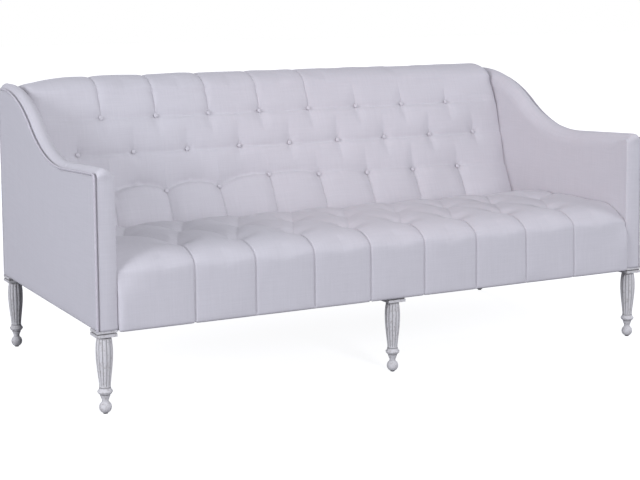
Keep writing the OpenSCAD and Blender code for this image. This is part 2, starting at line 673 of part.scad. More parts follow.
groove = 1.5;
groove_below = 5.5;
nail_r = 1;
nail_len = 13;
module leg(i) color(PAINT) settee() difference() {
    translate([leg_places[i].x, leg_places[i].y, 0]) {
        difference() {
            translate([-block_w / 2, -block_w / 2, block_z]) cube([block_w, block_w, block_h]);
            translate([0, 0, leg_h - groove_below]) difference() {
                cube([block_w + 2, block_w + 2, groove], center = true);
                cube([block_w - 2 * groove, block_w - 2 * groove, 2 * groove], center = true);
            }
        }
        turned_leg();
    }
    translate([leg_places[i].x, leg_places[i].y, bolt_z]) cylinder(d = bolt_d + 2 * pin_gap, h = leg_h);
    translate([leg_places[i].x, leg_places[i].y, -1]) cylinder(r = nail_r + pin_gap, h = nail_len + 2);
    if (i == 1) plank([-block_w, -block_w, skirt_z - gap], [block_w, wood_d + gap, leg_h + 1]);
}

module leg_bolts() color(STEEL) settee() for (p = leg_places)
    translate([p.x, p.y, bolt_z]) cylinder(d = bolt_d, h = bolt_top - bolt_z);

module leg_t_nuts() color(STEEL) settee() for (p = leg_places)
    translate([p.x, p.y, leg_h]) difference() {
        union() {
            cylinder(r = flange_r, h = flange_t);
            cylinder(r = nut_r, h = flange_t + nut_len);
        }
        translate([0, 0, -1]) cylinder(d = bolt_d + 2 * pin_gap, h = flange_t + nut_len + 2);
    }

module foot_glides() color("dimgray") settee() for (p = leg_places) translate([p.x, p.y]) {
    cylinder(r = glide_r, h = glide_t);
    cylinder(r = nail_r, h = nail_len);
}

front_seat_rail();
back_seat_rail();
side_seat_rail(-1);  // side_seat_rail_left
side_seat_rail(1);  // side_seat_rail_right
spring_rail();
seat_stretcher(upright_x[1]);  // seat_stretcher_left
seat_stretcher(0);  // seat_stretcher_centre
seat_stretcher(upright_x[3]);  // seat_stretcher_right
front_post(-1);  // front_post_left
front_post(1);  // front_post_right
back_post(-1);  // back_post_left
back_post(1);  // back_post_right
arm_top_rail(-1);  // arm_top_rail_left
arm_top_rail(1);  // arm_top_rail_right
arm_tack_rail(-1);  // arm_tack_rail_left
arm_tack_rail(1);  // arm_tack_rail_right
back_top_rail();
back_tack_rails();
back_upright(0);  // back_upright_end_left
back_upright(1);  // back_upright_left
back_upright(2);  // back_upright_centre
back_upright(3);  // back_upright_right
back_upright(4);  // back_upright_end_right
corner_blocks();
frame_dowels();
corner_screws();
seat_springs();
spring_clips();
seat_deck();
seat_foam();
seat_pad();
back_straps();
back_cross_straps();
back_foam();
back_pad();
back_buttons();
arm_inside_pad(-1);  // arm_inside_pad_left
arm_inside_pad(1);  // arm_inside_pad_right
arm_top_pad(-1);  // arm_top_pad_left
arm_top_pad(1);  // arm_top_pad_right
arm_welt(-1);  // arm_welt_left
arm_welt(1);  // arm_welt_right
outside_arm(-1);  // outside_arm_left
outside_arm(1);  // outside_arm_right
outside_back();
dust_cover();
leg(0);  // leg_front_left
leg(1);  // leg_front_centre
leg(2);  // leg_front_right
leg(3);  // leg_back_left
leg(4);  // leg_back_right
leg_bolts();
leg_t_nuts();
foot_glides();
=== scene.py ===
"""Dresses the settee: tufted linen pads, covered buttons, welted arms and reeded, painted legs.

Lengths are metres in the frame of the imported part: +X to the right as seen from the front, +Y to
the back and +Z up, with the origin on the floor. The side view is drawn in depth, counted from
the front plane of the arms, and height.
"""

import json
import logging
import math
from collections.abc import Callable, Iterator, Sequence
from contextlib import contextmanager
from dataclasses import dataclass, field
from enum import Enum

import bmesh
import bpy
import numpy as np
from bpy.types import Material, Mesh, Node, NodeSocket, NodeTree, Object
from mathutils import Matrix, Vector


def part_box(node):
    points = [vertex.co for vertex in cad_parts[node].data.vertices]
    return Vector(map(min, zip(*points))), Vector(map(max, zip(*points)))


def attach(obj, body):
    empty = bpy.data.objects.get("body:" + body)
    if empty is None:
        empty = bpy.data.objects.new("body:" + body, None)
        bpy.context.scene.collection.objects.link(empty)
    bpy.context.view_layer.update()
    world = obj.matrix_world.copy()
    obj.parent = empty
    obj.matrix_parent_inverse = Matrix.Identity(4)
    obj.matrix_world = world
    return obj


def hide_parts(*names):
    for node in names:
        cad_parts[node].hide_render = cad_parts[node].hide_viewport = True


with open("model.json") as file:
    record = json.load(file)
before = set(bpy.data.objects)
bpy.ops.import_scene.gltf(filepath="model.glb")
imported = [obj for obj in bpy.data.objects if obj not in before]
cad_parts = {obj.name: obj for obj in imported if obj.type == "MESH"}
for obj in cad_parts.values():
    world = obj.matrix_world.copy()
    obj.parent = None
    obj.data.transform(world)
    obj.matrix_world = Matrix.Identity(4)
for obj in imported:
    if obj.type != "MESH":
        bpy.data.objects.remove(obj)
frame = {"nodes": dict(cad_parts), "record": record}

MM = 0.001
LOG = logging.getLogger("settee")
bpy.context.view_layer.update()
Place = tuple[float, float]
Triple = tuple[float, float, float]
Field = Callable[[np.ndarray, np.ndarray], np.ndarray]
BMesh, BMVert, BMFace = bmesh.types.BMesh, bmesh.types.BMVert, bmesh.types.BMFace


class Side(Enum):
    """The two sides of the settee as seen from the front, with the sign of X there."""

    LEFT = -1
    RIGHT = 1

    @property
    def word(self) -> str:
        """The side's name as the nodes spell it."""
        return self.name.lower()


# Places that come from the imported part
SEAT_OVERHANG = 12 * MM
FRONT_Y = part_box("seat_pad")[0].y + SEAT_OVERHANG
SIDE_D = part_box("outside_back")[1].y - FRONT_Y
PROUD = 10 * MM
ARM_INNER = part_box("arm_inside_pad_right")[0].x - PROUD
ARM_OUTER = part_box("arm_top_pad_right")[1].x
PAD_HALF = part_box("seat_pad")[1].x - PROUD
RAIL_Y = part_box("front_seat_rail")[0].y
LEG_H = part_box("front_seat_rail")[0].z
RAIL_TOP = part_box("front_seat_rail")[1].z
FOAM_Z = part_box("seat_foam")[1].z
WELT_R = (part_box("arm_welt_right")[1].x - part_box("arm_welt_right")[0].x) / 2
SEAT_H = 456 * MM
BACK_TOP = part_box("back_pad")[1].z
LEGS = ("front_left", "front_centre", "front_right", "back_left", "back_right")

# The grid of tufts
TUFTS = 9
TUFT_EDGE = 132 * MM
PITCH = (2 * ARM_INNER - 2 * TUFT_EDGE) / (TUFTS - 1)

# The leaning plane of the back
RAKE = math.radians(20.4)
BACK_D = SIDE_D - 270 * MM


def lean(z: float, behind: float = 0.0) -> float:
    """Depth of the back's plane at a height, or of a plane behind it."""
    return BACK_D + (z - SEAT_H) * math.tan(RAKE) + behind


def mm(*values: float) -> tuple[float, ...]:
    """Turns millimetres to metres."""
    return tuple(value * MM for value in values)


def hump(value: float, middle: float, reach: float) -> float:
    """A smooth hump, 1 high in its middle."""
    return math.exp(-(((value - middle) / reach) ** 2))


def eased(share: float | np.ndarray) -> float | np.ndarray:
    """A share from 0 to 1 with a soft start and a soft end."""
    return share * share * (3 - 2 * share)


def near_end(across: np.ndarray, reach: float) -> np.ndarray:
    """How near places are to a pad's ends: 0 up to a distance from them, and 1 at them."""
    return np.clip((np.abs(across) - PAD_HALF + reach) / reach, 0, 1)


def tuft_x(row: int) -> list[float]:
    """Places across of the tufts of a row: the middle row has one more than the others."""
    count = TUFTS if row == 1 else TUFTS - 1
    return [(k - (count - 1) / 2) * PITCH for k in range(count)]


# Shapes in the side view


class Line:
    """A smooth line in depth and height, measured along its length.

    Args:
        points: Its points, close enough together to be smooth.
    """

    def __init__(self, points: Sequence[Place]) -> None:
        """Measures the line."""
        self.points = np.array(points, float)
        steps = np.linalg.norm(np.diff(self.points, axis=0), axis=1)
        self.along = np.concatenate([[0.0], np.cumsum(steps)])
        self.length = float(self.along[-1])
        turn = np.gradient(self.points, self.along, axis=0)
        turn /= np.linalg.norm(turn, axis=1)[:, None]
        self.normals = np.stack([-turn[:, 1], turn[:, 0]], axis=1)

    def at(self, along: np.ndarray) -> tuple[np.ndarray, np.ndarray]:
        """Points on the line and its outward normals there.

        Args:
            along: Distances from the line's start.

        Returns:
            The points and the normals, one row each.
        """
        places, normals = (
            np.stack([np.interp(along, self.along, values[:, i]) for i in (0, 1)], axis=-1)
            for values in (self.points, self.normals))
        return places, normals / np.linalg.norm(normals, axis=-1)[..., None]

    def nearest(self, depth: float | None = None, height: float | None = None) -> float:
        """Distance along the line of its first point at a depth or a height.

        Args:
            depth: The depth to look for, or None.
            height: The height to look for, or None.

        Returns:
            The distance from the line's start.
        """
        axis, value = (0, depth) if height is None else (1, height)
        return float(self.along[int(np.argmin(np.abs(self.points[:, axis] - value)))])


def curve_through(points: Sequence[Place], per_span: int = 16) -> list[Place]:
    """A smooth curve through points in a plane.

    Args:
        points: The points that the curve goes through.
        per_span: The number of steps between two points.

    Returns:
        The curve's points, its ends among them.
    """
    p = [np.array(q, float) for q in points]
    p = [2 * p[0] - p[1], *p, 2 * p[-1] - p[-2]]
    made = [
        0.5 * (2 * b + (c - a) * t + (2 * a - 5 * b + 4 * c - d) * t**2 + (3 * b - a - 3 * c + d) * t**3)
        for a, b, c, d in zip(p, p[1:], p[2:], p[3:]) for t in np.arange(per_span) / per_span]
    return [(float(q[0]), float(q[1])) for q in (*made, p[-2])]


def arc(centre: Place, radii: Place, start: float, end: float, steps: int) -> list[Place]:
    """An arc of an ellipse, from one angle to another in degrees."""
    angles = [math.radians(start + (end - start) * i / steps) for i in range(steps + 1)]
    return [(centre[0] + radii[0] * math.cos(a), centre[1] + radii[1] * math.sin(a)) for a in angles]


# Meshes


@contextmanager
def editing(mesh: Mesh) -> Iterator[BMesh]:
    """Opens a mesh for operators and writes it back at the end.

    Args:
        mesh: The mesh.

    Yields:
        The mesh, open for operators.
    """
    bm = bmesh.new()
    bm.from_mesh(mesh)
    yield bm
    bm.to_mesh(mesh)
    bm.free()


def read_vectors(mesh: Mesh, key: str = "co") -> np.ndarray:
    """The places of a mesh's vertices, or their normals, one row each.

    Args:
        mesh: The mesh.
        key: What to read.

    Returns:
        One row for each vertex.
    """
    values = np.zeros(len(mesh.vertices) * 3, np.float32)
    mesh.vertices.foreach_get(key, values)
    return values.reshape(-1, 3).astype(float)


def write_points(mesh: Mesh, points: np.ndarray) -> None:
    """Puts a mesh's vertices at these places."""
    mesh.vertices.foreach_set("co", points.astype(np.float32).ravel())
    mesh.update()


def grid_mesh(name: str, across: int, along: int) -> tuple[Mesh, np.ndarray, np.ndarray]:
    """A flat grid with a UV map that runs from 0 to 1.

    Args:
        name: The mesh's name.
        across: Number of faces along X.
        along: Number of faces along Y.

    Returns:
        The mesh, and the column and the row of each vertex.
    """
    mesh = bpy.data.meshes.new(name)
    with editing(mesh) as bm:
        bm.loops.layers.uv.new("weave")
        bmesh.ops.create_grid(bm, x_segments=across, y_segments=along, size=1.0, calc_uvs=True)
    share = (read_vectors(mesh)[:, :2] + 1) / 2
    column, row = np.rint(share * (across, along)).astype(int).T
    return mesh, column, row


def scale_uv(mesh: Mesh, width: float, length: float) -> None:
    """Turns a UV map that runs from 0 to 1 into one in metres of cloth.

    Args:
        mesh: The mesh.
        width: Its width in metres of cloth.
        length: Its length in metres of cloth.
    """
    layer = mesh.uv_layers["weave"].data
    uv = np.zeros(len(layer) * 2, np.float32)
    layer.foreach_get("uv", uv)
    uv = uv.reshape(-1, 2) * np.array([width, length], np.float32)
    layer.foreach_set("uv", uv.ravel())


def flat_uv(bm: BMesh, faces: Sequence[BMFace], first: int, second: int) -> None:
    """Lays the weave on faces flat, along two of the axes.

    Args:
        bm: The mesh.
        faces: The faces.
        first: The axis that U follows.
        second: The axis that V follows.
    """
    layer = bm.loops.layers.uv.active
    for face in faces:
        for loop in face.loops:
            loop[layer].uv = (loop.vert.co[first], loop.vert.co[second])


def keep_values(mesh: Mesh, name: str, values: np.ndarray) -> None:
    """Keeps one number for each vertex as a named attribute."""
    mesh.attributes.new(name, "FLOAT", "POINT").data.foreach_set("value", values.astype(np.float32))


def read_values(mesh: Mesh, name: str) -> np.ndarray:
    """The numbers that an attribute holds for the vertices.

    Args:
        mesh: The mesh.
        name: Its name.

    Returns:
        One number for each vertex.
    """
    values = np.zeros(len(mesh.vertices), np.float32)
    mesh.attributes[name].data.foreach_get("value", values)
    return values.astype(float)


def smoothed(mesh: Mesh, moves: np.ndarray, held: np.ndarray, rounds: int) -> np.ndarray:
    """Evens out moves of a mesh's vertices with their neighbours', and keeps the held ones still.

    Args:
        mesh: The mesh.
        moves: How far each vertex moves.
        held: Which of them stay where they are.
        rounds: How many times the moves are evened out.

    Returns:
        The even moves.
    """
    ends = np.empty(2 * len(mesh.edges), dtype=int)
    mesh.edges.foreach_get("vertices", ends)
    first, second = ends[::2], ends[1::2]
    count = np.bincount(ends, minlength=len(moves))[:, None]
    for _ in range(rounds):
        total = np.zeros_like(moves)
        np.add.at(total, first, moves[second])
        np.add.at(total, second, moves[first])
        moves = 0.5 * moves + 0.5 * total / np.maximum(count, 1)
        moves[held] = 0
    return moves


def object_of(mesh: Mesh) -> Object:
    """A new object in the scene that holds a mesh, at the origin and shaded smooth.

    Args:
        mesh: The mesh.

    Returns:
        The object.
    """
    piece = bpy.data.objects.new(mesh.name, mesh)
    bpy.context.scene.collection.objects.link(piece)
    mesh.polygons.foreach_set("use_smooth", [True] * len(mesh.polygons))
    return piece


def apply_modifiers(piece: Object) -> None:
    """Makes a piece's modifiers part of its mesh.

    Args:
        piece: The piece.
    """
    shown = piece.evaluated_get(bpy.context.evaluated_depsgraph_get())
    made = bpy.data.meshes.new_from_object(shown)
    made.name = piece.name
    piece.modifiers.clear()
    piece.data = made


def subdivide(piece: Object) -> None:
    """Smooths a piece with a subdivision surface, made part of its mesh.

    Args:
        piece: The piece.
    """
    smooth = piece.modifiers.new("smooth", "SUBSURF")
    smooth.levels = smooth.render_levels = 1
    smooth.boundary_smooth = "PRESERVE_CORNERS"
    apply_modifiers(piece)


def thicken(piece: Object, thick: float, way: float) -> None:
    """Gives a skin its thickness, behind its faces for -1 and before them for 1.

    Args:
        piece: The piece.
        thick: Its thickness.
        way: The direction.
    """
    wall = piece.modifiers.new("wall", "SOLIDIFY")
    wall.thickness, wall.offset = thick, way
    apply_modifiers(piece)


def turn_towards(bm: BMesh, way: Vector) -> None:
    """Turns all the faces over if, on the whole, they face away from a direction."""
    if sum((f.normal.dot(way) * f.calc_area() for f in bm.faces), 0.0) < 0:
        bmesh.ops.reverse_faces(bm, faces=bm.faces)


def close_mesh(mesh: Mesh) -> None:
    """Joins the doubled rows of a mesh, fills its open ends and turns its faces outwards.

    Args:
        mesh: The mesh.
    """
    with editing(mesh) as bm:
        bmesh.ops.remove_doubles(bm, verts=bm.verts, dist=0.01 * MM)
        edges = [e for e in bm.edges if e.is_boundary]
        if edges:
            caps = bmesh.ops.holes_fill(bm, edges=edges, sides=0)["faces"]
            bmesh.ops.triangulate(bm, faces=caps, ngon_method="EAR_CLIP")
        bmesh.ops.recalc_face_normals(bm, faces=bm.faces)


def swept_mesh(name: str, rings: np.ndarray, closed_ring: bool = False) -> Mesh:
    """A skin over rings of points, made by moving the points of a grid.

    Args:
        name: The mesh's name.
        rings: Points as [ring, point in the ring, coordinate].
        closed_ring: Whether each ring's last point meets its first.

    Returns:
        The mesh, with its UV map in metres.
    """
    if closed_ring:
        rings = np.concatenate([rings, rings[:, :1]], axis=1)
    mesh, column, row = grid_mesh(name, rings.shape[1] - 1, rings.shape[0] - 1)
    write_points(mesh, rings[row, column])
    width, length = (np.linalg.norm(np.diff(rings, axis=a), axis=2).sum(axis=a).mean() for a in (1, 0))
    scale_uv(mesh, float(width), float(length))
    return mesh


def spin_profile(bm: BMesh, outline: Sequence[Place], steps: int) -> list[BMVert]:
    """Turns an outline of radius and height round the Z axis.

    Args:
        bm: The mesh to add to.
        outline: Radius and height of each point.
        steps: Number of steps in the full turn.

    Returns:
        The new vertices.
    """
    before = set(bm.verts)
    line = [bm.verts.new((r, 0, z)) for r, z in outline]
    edges = [bm.edges.new(pair) for pair in zip(line, line[1:])]
    bmesh.ops.spin(bm, geom=[*line, *edges], cent=(0, 0, 0), axis=(0, 0, 1), dvec=(0, 0, 0),
                   angle=2 * math.pi, steps=steps, use_merge=True, use_duplicate=False)
    made = [v for v in bm.verts if v not in before]
    bmesh.ops.remove_doubles(bm, verts=made, dist=0.005 * MM)
    return [v for v in bm.verts if v not in before]


# Finishes


def linear(code: str) -> tuple[float, float, float, float]:
    """Turns an sRGB hex colour to linear.

    Args:
        code: The colour as # and six hex digits.

    Returns:
        The linear colour with an alpha of 1.
    """
    parts = [int(code[i : i + 2], 16) / 255 for i in (1, 3, 5)]
    made = [c / 12.92 if c <= 0.04045 else ((c + 0.055) / 1.055) ** 2.4 for c in parts]
    return (*made, 1.0)


def link(tree: NodeTree, node: Node, sources: dict[str | int, Node | NodeSocket]) -> None:
    """Feeds a node's inputs, by name or number, from sockets or from the first outputs of nodes."""
    for key, source in sources.items():
        tree.links.new(source.outputs[0] if isinstance(source, Node) else source, node.inputs[key])


def add(tree: NodeTree, kind: str, settings: dict | None = None, sources: dict | None = None) -> Node:
    """Adds a node with its settings and links.

    Args:
        tree: The node tree to add to.
        kind: The node's type.
        settings: Values by the name or number of an input, or by the name of a property. The stops
            of a ramp are pairs of a place from 0 to 1 and a hex colour.
        sources: What feeds its inputs, by their name or number.

    Returns:
        The node.
    """
    node = tree.nodes.new(kind)
    for key, value in (settings or {}).items():
        if key == "stops":
            bar = node.color_ramp.elements
            for spot, (place, code) in enumerate(value):
                stop = bar[spot] if spot < 2 else bar.new(place)
                stop.position, stop.color = place, linear(code)
        elif isinstance(key, int) or key in node.inputs:
            node.inputs[key].default_value = value
        else:
            setattr(node, key, value)
    link(tree, node, sources or {})
    return node


def start_material(name: str, **surface: float) -> tuple[Material, NodeTree, Node]:
    """A new material, its tree and its main shader, with some of the shader's inputs set.

    Args:
        name: Its name.
        surface: Values for the shader's inputs.

    Returns:
        The material, its node tree and its main shader.
    """
    made = bpy.data.materials.new(name)
    made.use_nodes = True
    shader = made.node_tree.nodes["Principled BSDF"]
    for key, value in surface.items():
        shader.inputs[key.replace("_", " ").title().replace("Ior", "IOR")].default_value = value
    return made, made.node_tree, shader


# Scale of a wave texture whose bands lie 1 m apart
WAVE_PERIOD = 2 * math.pi / 20


@dataclass(frozen=True)
class Linen:
    """Plain-woven upholstery linen: matt, with uneven threads that catch the light as streaks.

    Real threads lie about 0.8 mm apart. They are drawn twice as coarse, so that they show.
    """

    name: str = "woven_linen"
    light: str = "#D3D0D3"
    dark: str = "#CDCACD"
    thread: float = 1.6 * MM
    bias: float = 0.0
    relief: float = 0.11 * MM

    def build(self) -> Material:
        """Makes the material.

        Returns:
            The material.
        """
        made, tree, shader = start_material(
            self.name, roughness=0.92, specular_ior_level=0.25, sheen_weight=0.12, sheen_roughness=0.6)
        uv = add(tree, "ShaderNodeUVMap", {"uv_map": "weave"})
        place = add(tree, "ShaderNodeMapping", {"Rotation": (0, 0, self.bias)}, {"Vector": uv})
        thread = {"wave_type": "BANDS", "wave_profile": "SIN", "Scale": WAVE_PERIOD / self.thread / 2,
                  "Distortion": 0.6, "Detail": 1.0, "Detail Scale": 0.4}
        slub = {"Scale": 1.0, "Detail": 3.0, "Roughness": 0.65}
        bands, streaks = {}, {}
        for spot, (way, stretch) in enumerate((("X", (260, 9, 1)), ("Y", (9, 260, 1)))):
            wave = add(tree, "ShaderNodeTexWave", {**thread, "bands_direction": way}, {"Vector": place})
            bands[spot] = wave.outputs["Fac"]
            long = add(tree, "ShaderNodeMapping", {"Scale": stretch}, {"Vector": place})
            streaks[spot] = add(tree, "ShaderNodeTexNoise", slub, {"Vector": long})
        weave = add(tree, "ShaderNodeMath", {"operation": "MULTIPLY"}, bands)
        slubs = add(tree, "ShaderNodeMath", {"operation": "ADD"}, streaks)
        spread = add(tree, "ShaderNodeMapRange", {"From Min": 0.72, "From Max": 1.28}, {"Value": slubs})
        cloud = add(tree, "ShaderNodeTexNoise", {"Scale": 14.0, "Detail": 2.0}, {"Vector": place})
        tone = add(tree, "ShaderNodeMath", {"operation": "MULTIPLY_ADD", 1: 0.35}, {0: cloud, 2: spread})
        mixed = add(tree, "ShaderNodeMath", {"operation": "MULTIPLY", 1: 0.74}, {0: tone})
        stops = [(0.1, self.dark), (0.9, self.light)]
        colour = add(tree, "ShaderNodeValToRGB", {"stops": stops}, {"Fac": mixed})
        uneven = add(tree, "ShaderNodeBump", {"Strength": 0.5, "Distance": 0.5 * MM}, {"Height": slubs})
        woven = add(tree, "ShaderNodeBump", {"Strength": 1.0, "Distance": self.relief},
                    {"Height": weave, "Normal": uneven})
        link(tree, shader, {"Base Color": colour, "Normal": woven})
        return made


@dataclass(frozen=True)
class WornPaint:
    """White paint rubbed back on turned beech; its hollows get a dark grey that is partly glaze and partly
    painted shade.
    """

    name: str = "rubbed_white_paint"
    paint: str = "#D6D4D3"
    rubbed: str = "#BFBBB8"
    # Dark grey of the hollows: partly glaze, partly painted shade in the grooves and under the block
    glaze_and_painted_shade: str = "#5B5756"
    wood: str = "#98918B"

    def build(self) -> Material:
        """Makes the material.

        Returns:
            The material.
        """
        made, tree, shader = start_material(self.name, roughness=0.55, specular_ior_level=0.4)
        place = add(tree, "ShaderNodeTexCoord").outputs["Object"]
        long = add(tree, "ShaderNodeMapping", {"Scale": (420, 420, 26)}, {"Vector": place})
        grain = add(tree, "ShaderNodeTexNoise", {"Scale": 1.0, "Detail": 4.0, "Roughness": 0.7},
                    {"Vector": long})
        patch = add(tree, "ShaderNodeTexNoise", {"Scale": 95.0, "Detail": 5.0, "Roughness": 0.7},
                    {"Vector": place})
        both = add(tree, "ShaderNodeMath", {"operation": "MULTIPLY_ADD", 1: 0.6}, {0: grain, 2: patch})
        stops = [(0.58, self.wood), (0.66, self.rubbed), (0.8, self.paint)]
        coat = add(tree, "ShaderNodeValToRGB", {"stops": stops}, {"Fac": both})
        # How much glaze and painted shade each vertex of the leg gets
        hollow = add(tree, "ShaderNodeAttribute", {"attribute_name": "hollow"}).outputs["Fac"]
        broken = add(tree, "ShaderNodeMath", {"operation": "MULTIPLY_ADD", 1: 0.9, 2: -0.45}, {0: patch})
        depth = add(tree, "ShaderNodeMath", {"operation": "ADD", "use_clamp": True}, {0: hollow, 1: broken})
        share = add(tree, "ShaderNodeMapRange", {"From Min": 0.25, "From Max": 1.0, "To Max": 0.85},
                    {"Value": depth})
        # Mixes in the dark grey of glaze and painted shade in the hollows
        glaze_and_shade_coat = add(tree, "ShaderNodeMix", {"data_type": "RGBA", "B": linear(self.glaze_and_painted_shade)},
                   {"Factor": share, "A": coat})
        worn = add(tree, "ShaderNodeBump", {"Strength": 0.35, "Distance": 0.4 * MM}, {"Height": both})
        link(tree, shader, {"Base Color": glaze_and_shade_coat.outputs["Result"], "Normal": worn})
        return made


@dataclass(frozen=True)
class Grained:
    """A plain material whose colour and surface vary along one direction, such as sawn wood."""

    name: str
    light: str
    dark: str
    scale: Triple
    roughness: float
    relief: float
    metallic: float = 0.0

    def build(self) -> Material:
        """Makes the material.

        Returns:
            The material.
        """
        made, tree, shader = start_material(self.name, roughness=self.roughness, metallic=self.metallic)
        place = add(tree, "ShaderNodeTexCoord").outputs["Object"]
        long = add(tree, "ShaderNodeMapping", {"Scale": self.scale}, {"Vector": place})
        grain = add(tree, "ShaderNodeTexNoise", {"Scale": 1.0, "Detail": 5.0, "Roughness": 0.6},
                    {"Vector": long})
        stops = [(0.3, self.dark), (0.7, self.light)]
        colour = add(tree, "ShaderNodeValToRGB", {"stops": stops}, {"Fac": grain})
        rough = add(tree, "ShaderNodeBump", {"Strength": 0.5, "Distance": self.relief * MM},
                    {"Height": grain})
        link(tree, shader, {"Base Color": colour, "Normal": rough})
        return made


class Wardrobe:
    """All the finishes of the settee, made once."""

    def __init__(self) -> None:
        """Makes the finishes."""
        self.linen = Linen().build()
        # The same cloth cut at an angle, so its threads run across the cord
        self.welt_linen = Linen("bias_cut_linen", light="#D3CFD3", dark="#C4BFC4", bias=math.pi / 4).build()
        self.paint = WornPaint().build()
        stuffs = {
            # Pale yellow with fine open pores
            "foam": Grained("polyurethane_foam", "#E6DDBB", "#D5CAA2", (900, 900, 900), 0.95, 0.6),
            # Brown and hairy, coarse along its threads
            "burlap": Grained("jute_burlap", "#A98C62", "#80673F", (500, 500, 60), 0.95, 0.5),
            # Nearly black, ribbed across its run
            "webbing": Grained("black_webbing", "#2B2B2D", "#19191A", (60, 900, 900), 0.85, 0.4),
            # Black, thin and quite matt
            "dust_cloth": Grained("black_cambric", "#1D1D1F", "#111113", (700, 700, 700), 0.95, 0.2),
            # Smooth and bright, with soft reflections
            "steel": Grained("bright_steel", "#9C9DA0", "#85868A", (300, 300, 300), 0.38, 0.05, 1.0),
            # Dark grey with a dull shine
            "glide_plastic": Grained("moulded_nylon", "#3A3A3C", "#2E2E30", (400, 400, 400), 0.5, 0.05),
            # Warm and bare, with its grain along the rail
            "frame_wood": Grained("sawn_beech", "#CFAE84", "#B08C60", (9, 160, 160), 0.7, 0.3),
        }
        self.by_slot = {slot: stuff.build() for slot, stuff in stuffs.items()}

    def dress_frame(self) -> int:
        """Gives every node that stays shown the material of its slot.

        Returns:
            The number of nodes dressed.
        """
        slots = {part["node"]: part["material_slot"] for part in frame["record"]["subparts"]}
        dressed = 0
        for name, node in frame["nodes"].items():
            material = self.by_slot.get(slots.get(name, ""))
            if material and not node.hide_render:
                dress(node, material)
                dressed += 1
        return dressed


def dress(piece: Object, material: Material) -> None:
    """Gives a piece one material all over."""
    piece.data.materials.clear()
    piece.data.materials.append(material)


def hand_over(piece: Object, material: Material, nodes: Sequence[str] = ()) -> None:
    """Dresses a finished piece and puts it on the settee's body in place of its nodes.

    Args:
        piece: The finished piece.
        material: Its material.
        nodes: The nodes that it stands for.
    """
    dress(piece, material)
    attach(piece, "root")
    if nodes:
        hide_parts(*nodes)
    LOG.info("%s: %d faces", piece.name, len(piece.data.polygons))


# Tufted pads


@dataclass(frozen=True)
class Crease:
    """A line along which a pad is drawn in, from one place to another.

    Args:
        start: Where it starts, across and along the pad.
        end: Where it ends.
        soft: Depth of its wide part at the start and at the end.
        sharp: Depth of its narrow part at the start and at the end.
        wide: How far the wide part reaches.
        narrow: How far the narrow part reaches.
        rise: How much shallower the wide part is in the middle, as a share.
        sewn: Whether the cover is sewn down along it.
    """

    start: Place
    end: Place
    soft: Place
    sharp: Place
    wide: float = 26 * MM
    narrow: float = 1.7 * MM
    rise: float = 0.0
    sewn: bool = True

    def measure(self, across: np.ndarray, along: np.ndarray) -> tuple[np.ndarray, np.ndarray]:
        """The share of the way along the crease and the distance from it, at each place.

        Args:
            across: Places across the pad.
            along: Places along the pad.

        Returns:
            The share and the distance at each place.
        """
        a, b = np.array(self.start), np.array(self.end)
        run = b - a
        t = np.clip(((across - a[0]) * run[0] + (along - a[1]) * run[1]) / (run @ run), 0, 1)
        return t, np.hypot(across - a[0] - t * run[0], along - a[1] - t * run[1])

    def draw(self, across: np.ndarray, along: np.ndarray) -> np.ndarray:
        """How far the wide part draws the pad in at each place.

        Args:
            across: Places across the pad.
            along: Places along the pad.

        Returns:
            The depth at each place.
        """
        t, away = self.measure(across, along)
        soft = self.soft[0] + (self.soft[1] - self.soft[0]) * t
        return soft * np.exp(-((away / self.wide) ** 2)) * (1 - self.rise * 4 * t * (1 - t))

    def cut(self, across: np.ndarray, along: np.ndarray) -> np.ndarray:
        """How far the narrow part draws the cover in at each place."""
        t, away = self.measure(across, along)
        return (self.sharp[0] + (self.sharp[1] - self.sharp[0]) * t) * np.exp(-away / self.narrow)


@dataclass(frozen=True)
class Fold:
    """A fold along a row of tufts: the cloth above it hangs over the top of a lobe below it.

    Args:
        knots: The tufts, across and along the pad.
        depth: How deep the fold is at the tufts.
        depths: How deep it is between them, in each gap and at the two ends.
        arches: How far each lobe rises above the line through the tufts.
        reach: How far the cloth above it is drawn in, and the height of the lobes' rounded tops.
        ends: The share of its depth that is left at the pad's left and right end.
        firm: The share of its depth that it is drawn in once more.
        firm_reach: The reach of that.
    """

    knots: tuple[Place, ...]
    depth: float
    depths: tuple[float, ...]
    arches: tuple[float, ...]
    reach: Place
    ends: Place
    firm: float = 0.34
    firm_reach: Place = mm(4, 22)

    def draw(self, across: np.ndarray, along: np.ndarray) -> np.ndarray:
        """How far the fold draws the pad in at each place."""
        return self.profile(across, along, *self.reach)

    def cut(self, across: np.ndarray, along: np.ndarray) -> np.ndarray:
        """How far it is drawn in once more, close to its line, after the cloth has swelled."""
        return self.firm * self.profile(across, along, *self.firm_reach)

    def profile(self, across: np.ndarray, along: np.ndarray, above: float, below: float) -> np.ndarray:
        """The depth of the fold at each place, for a reach above and below its line.

        Args:
            across: Places across the pad.
            along: Places along the pad.
            above: How far the cloth above the line is drawn in.
            below: Height of the rounded tops below the line.

        Returns:
            The depth at each place.
        """
        x, height = (np.array([k[i] for k in self.knots]) for i in (0, 1))
        gap = np.searchsorted(x, across)
        left = np.concatenate([[x[0] - PITCH], x])[gap]
        swing = np.sin(np.pi * np.clip((across - left) / PITCH, 0, 1)) ** 0.7
        off = along - np.interp(across, x, height) - np.array(self.arches)[gap] * swing
        top = np.clip(1 + off / below, 0, 1)
        fade = np.where(off > 0, np.exp(-np.maximum(off, 0) / above), 1 - np.sqrt(1 - (0.99 * top) ** 2))
        lost = (1 - np.where(across < 0, *self.ends)) * eased(near_end(across, 0.9 * PITCH))
        return (self.depth + (np.array(self.depths)[gap] - self.depth) * swing) * fade * (1 - lost)


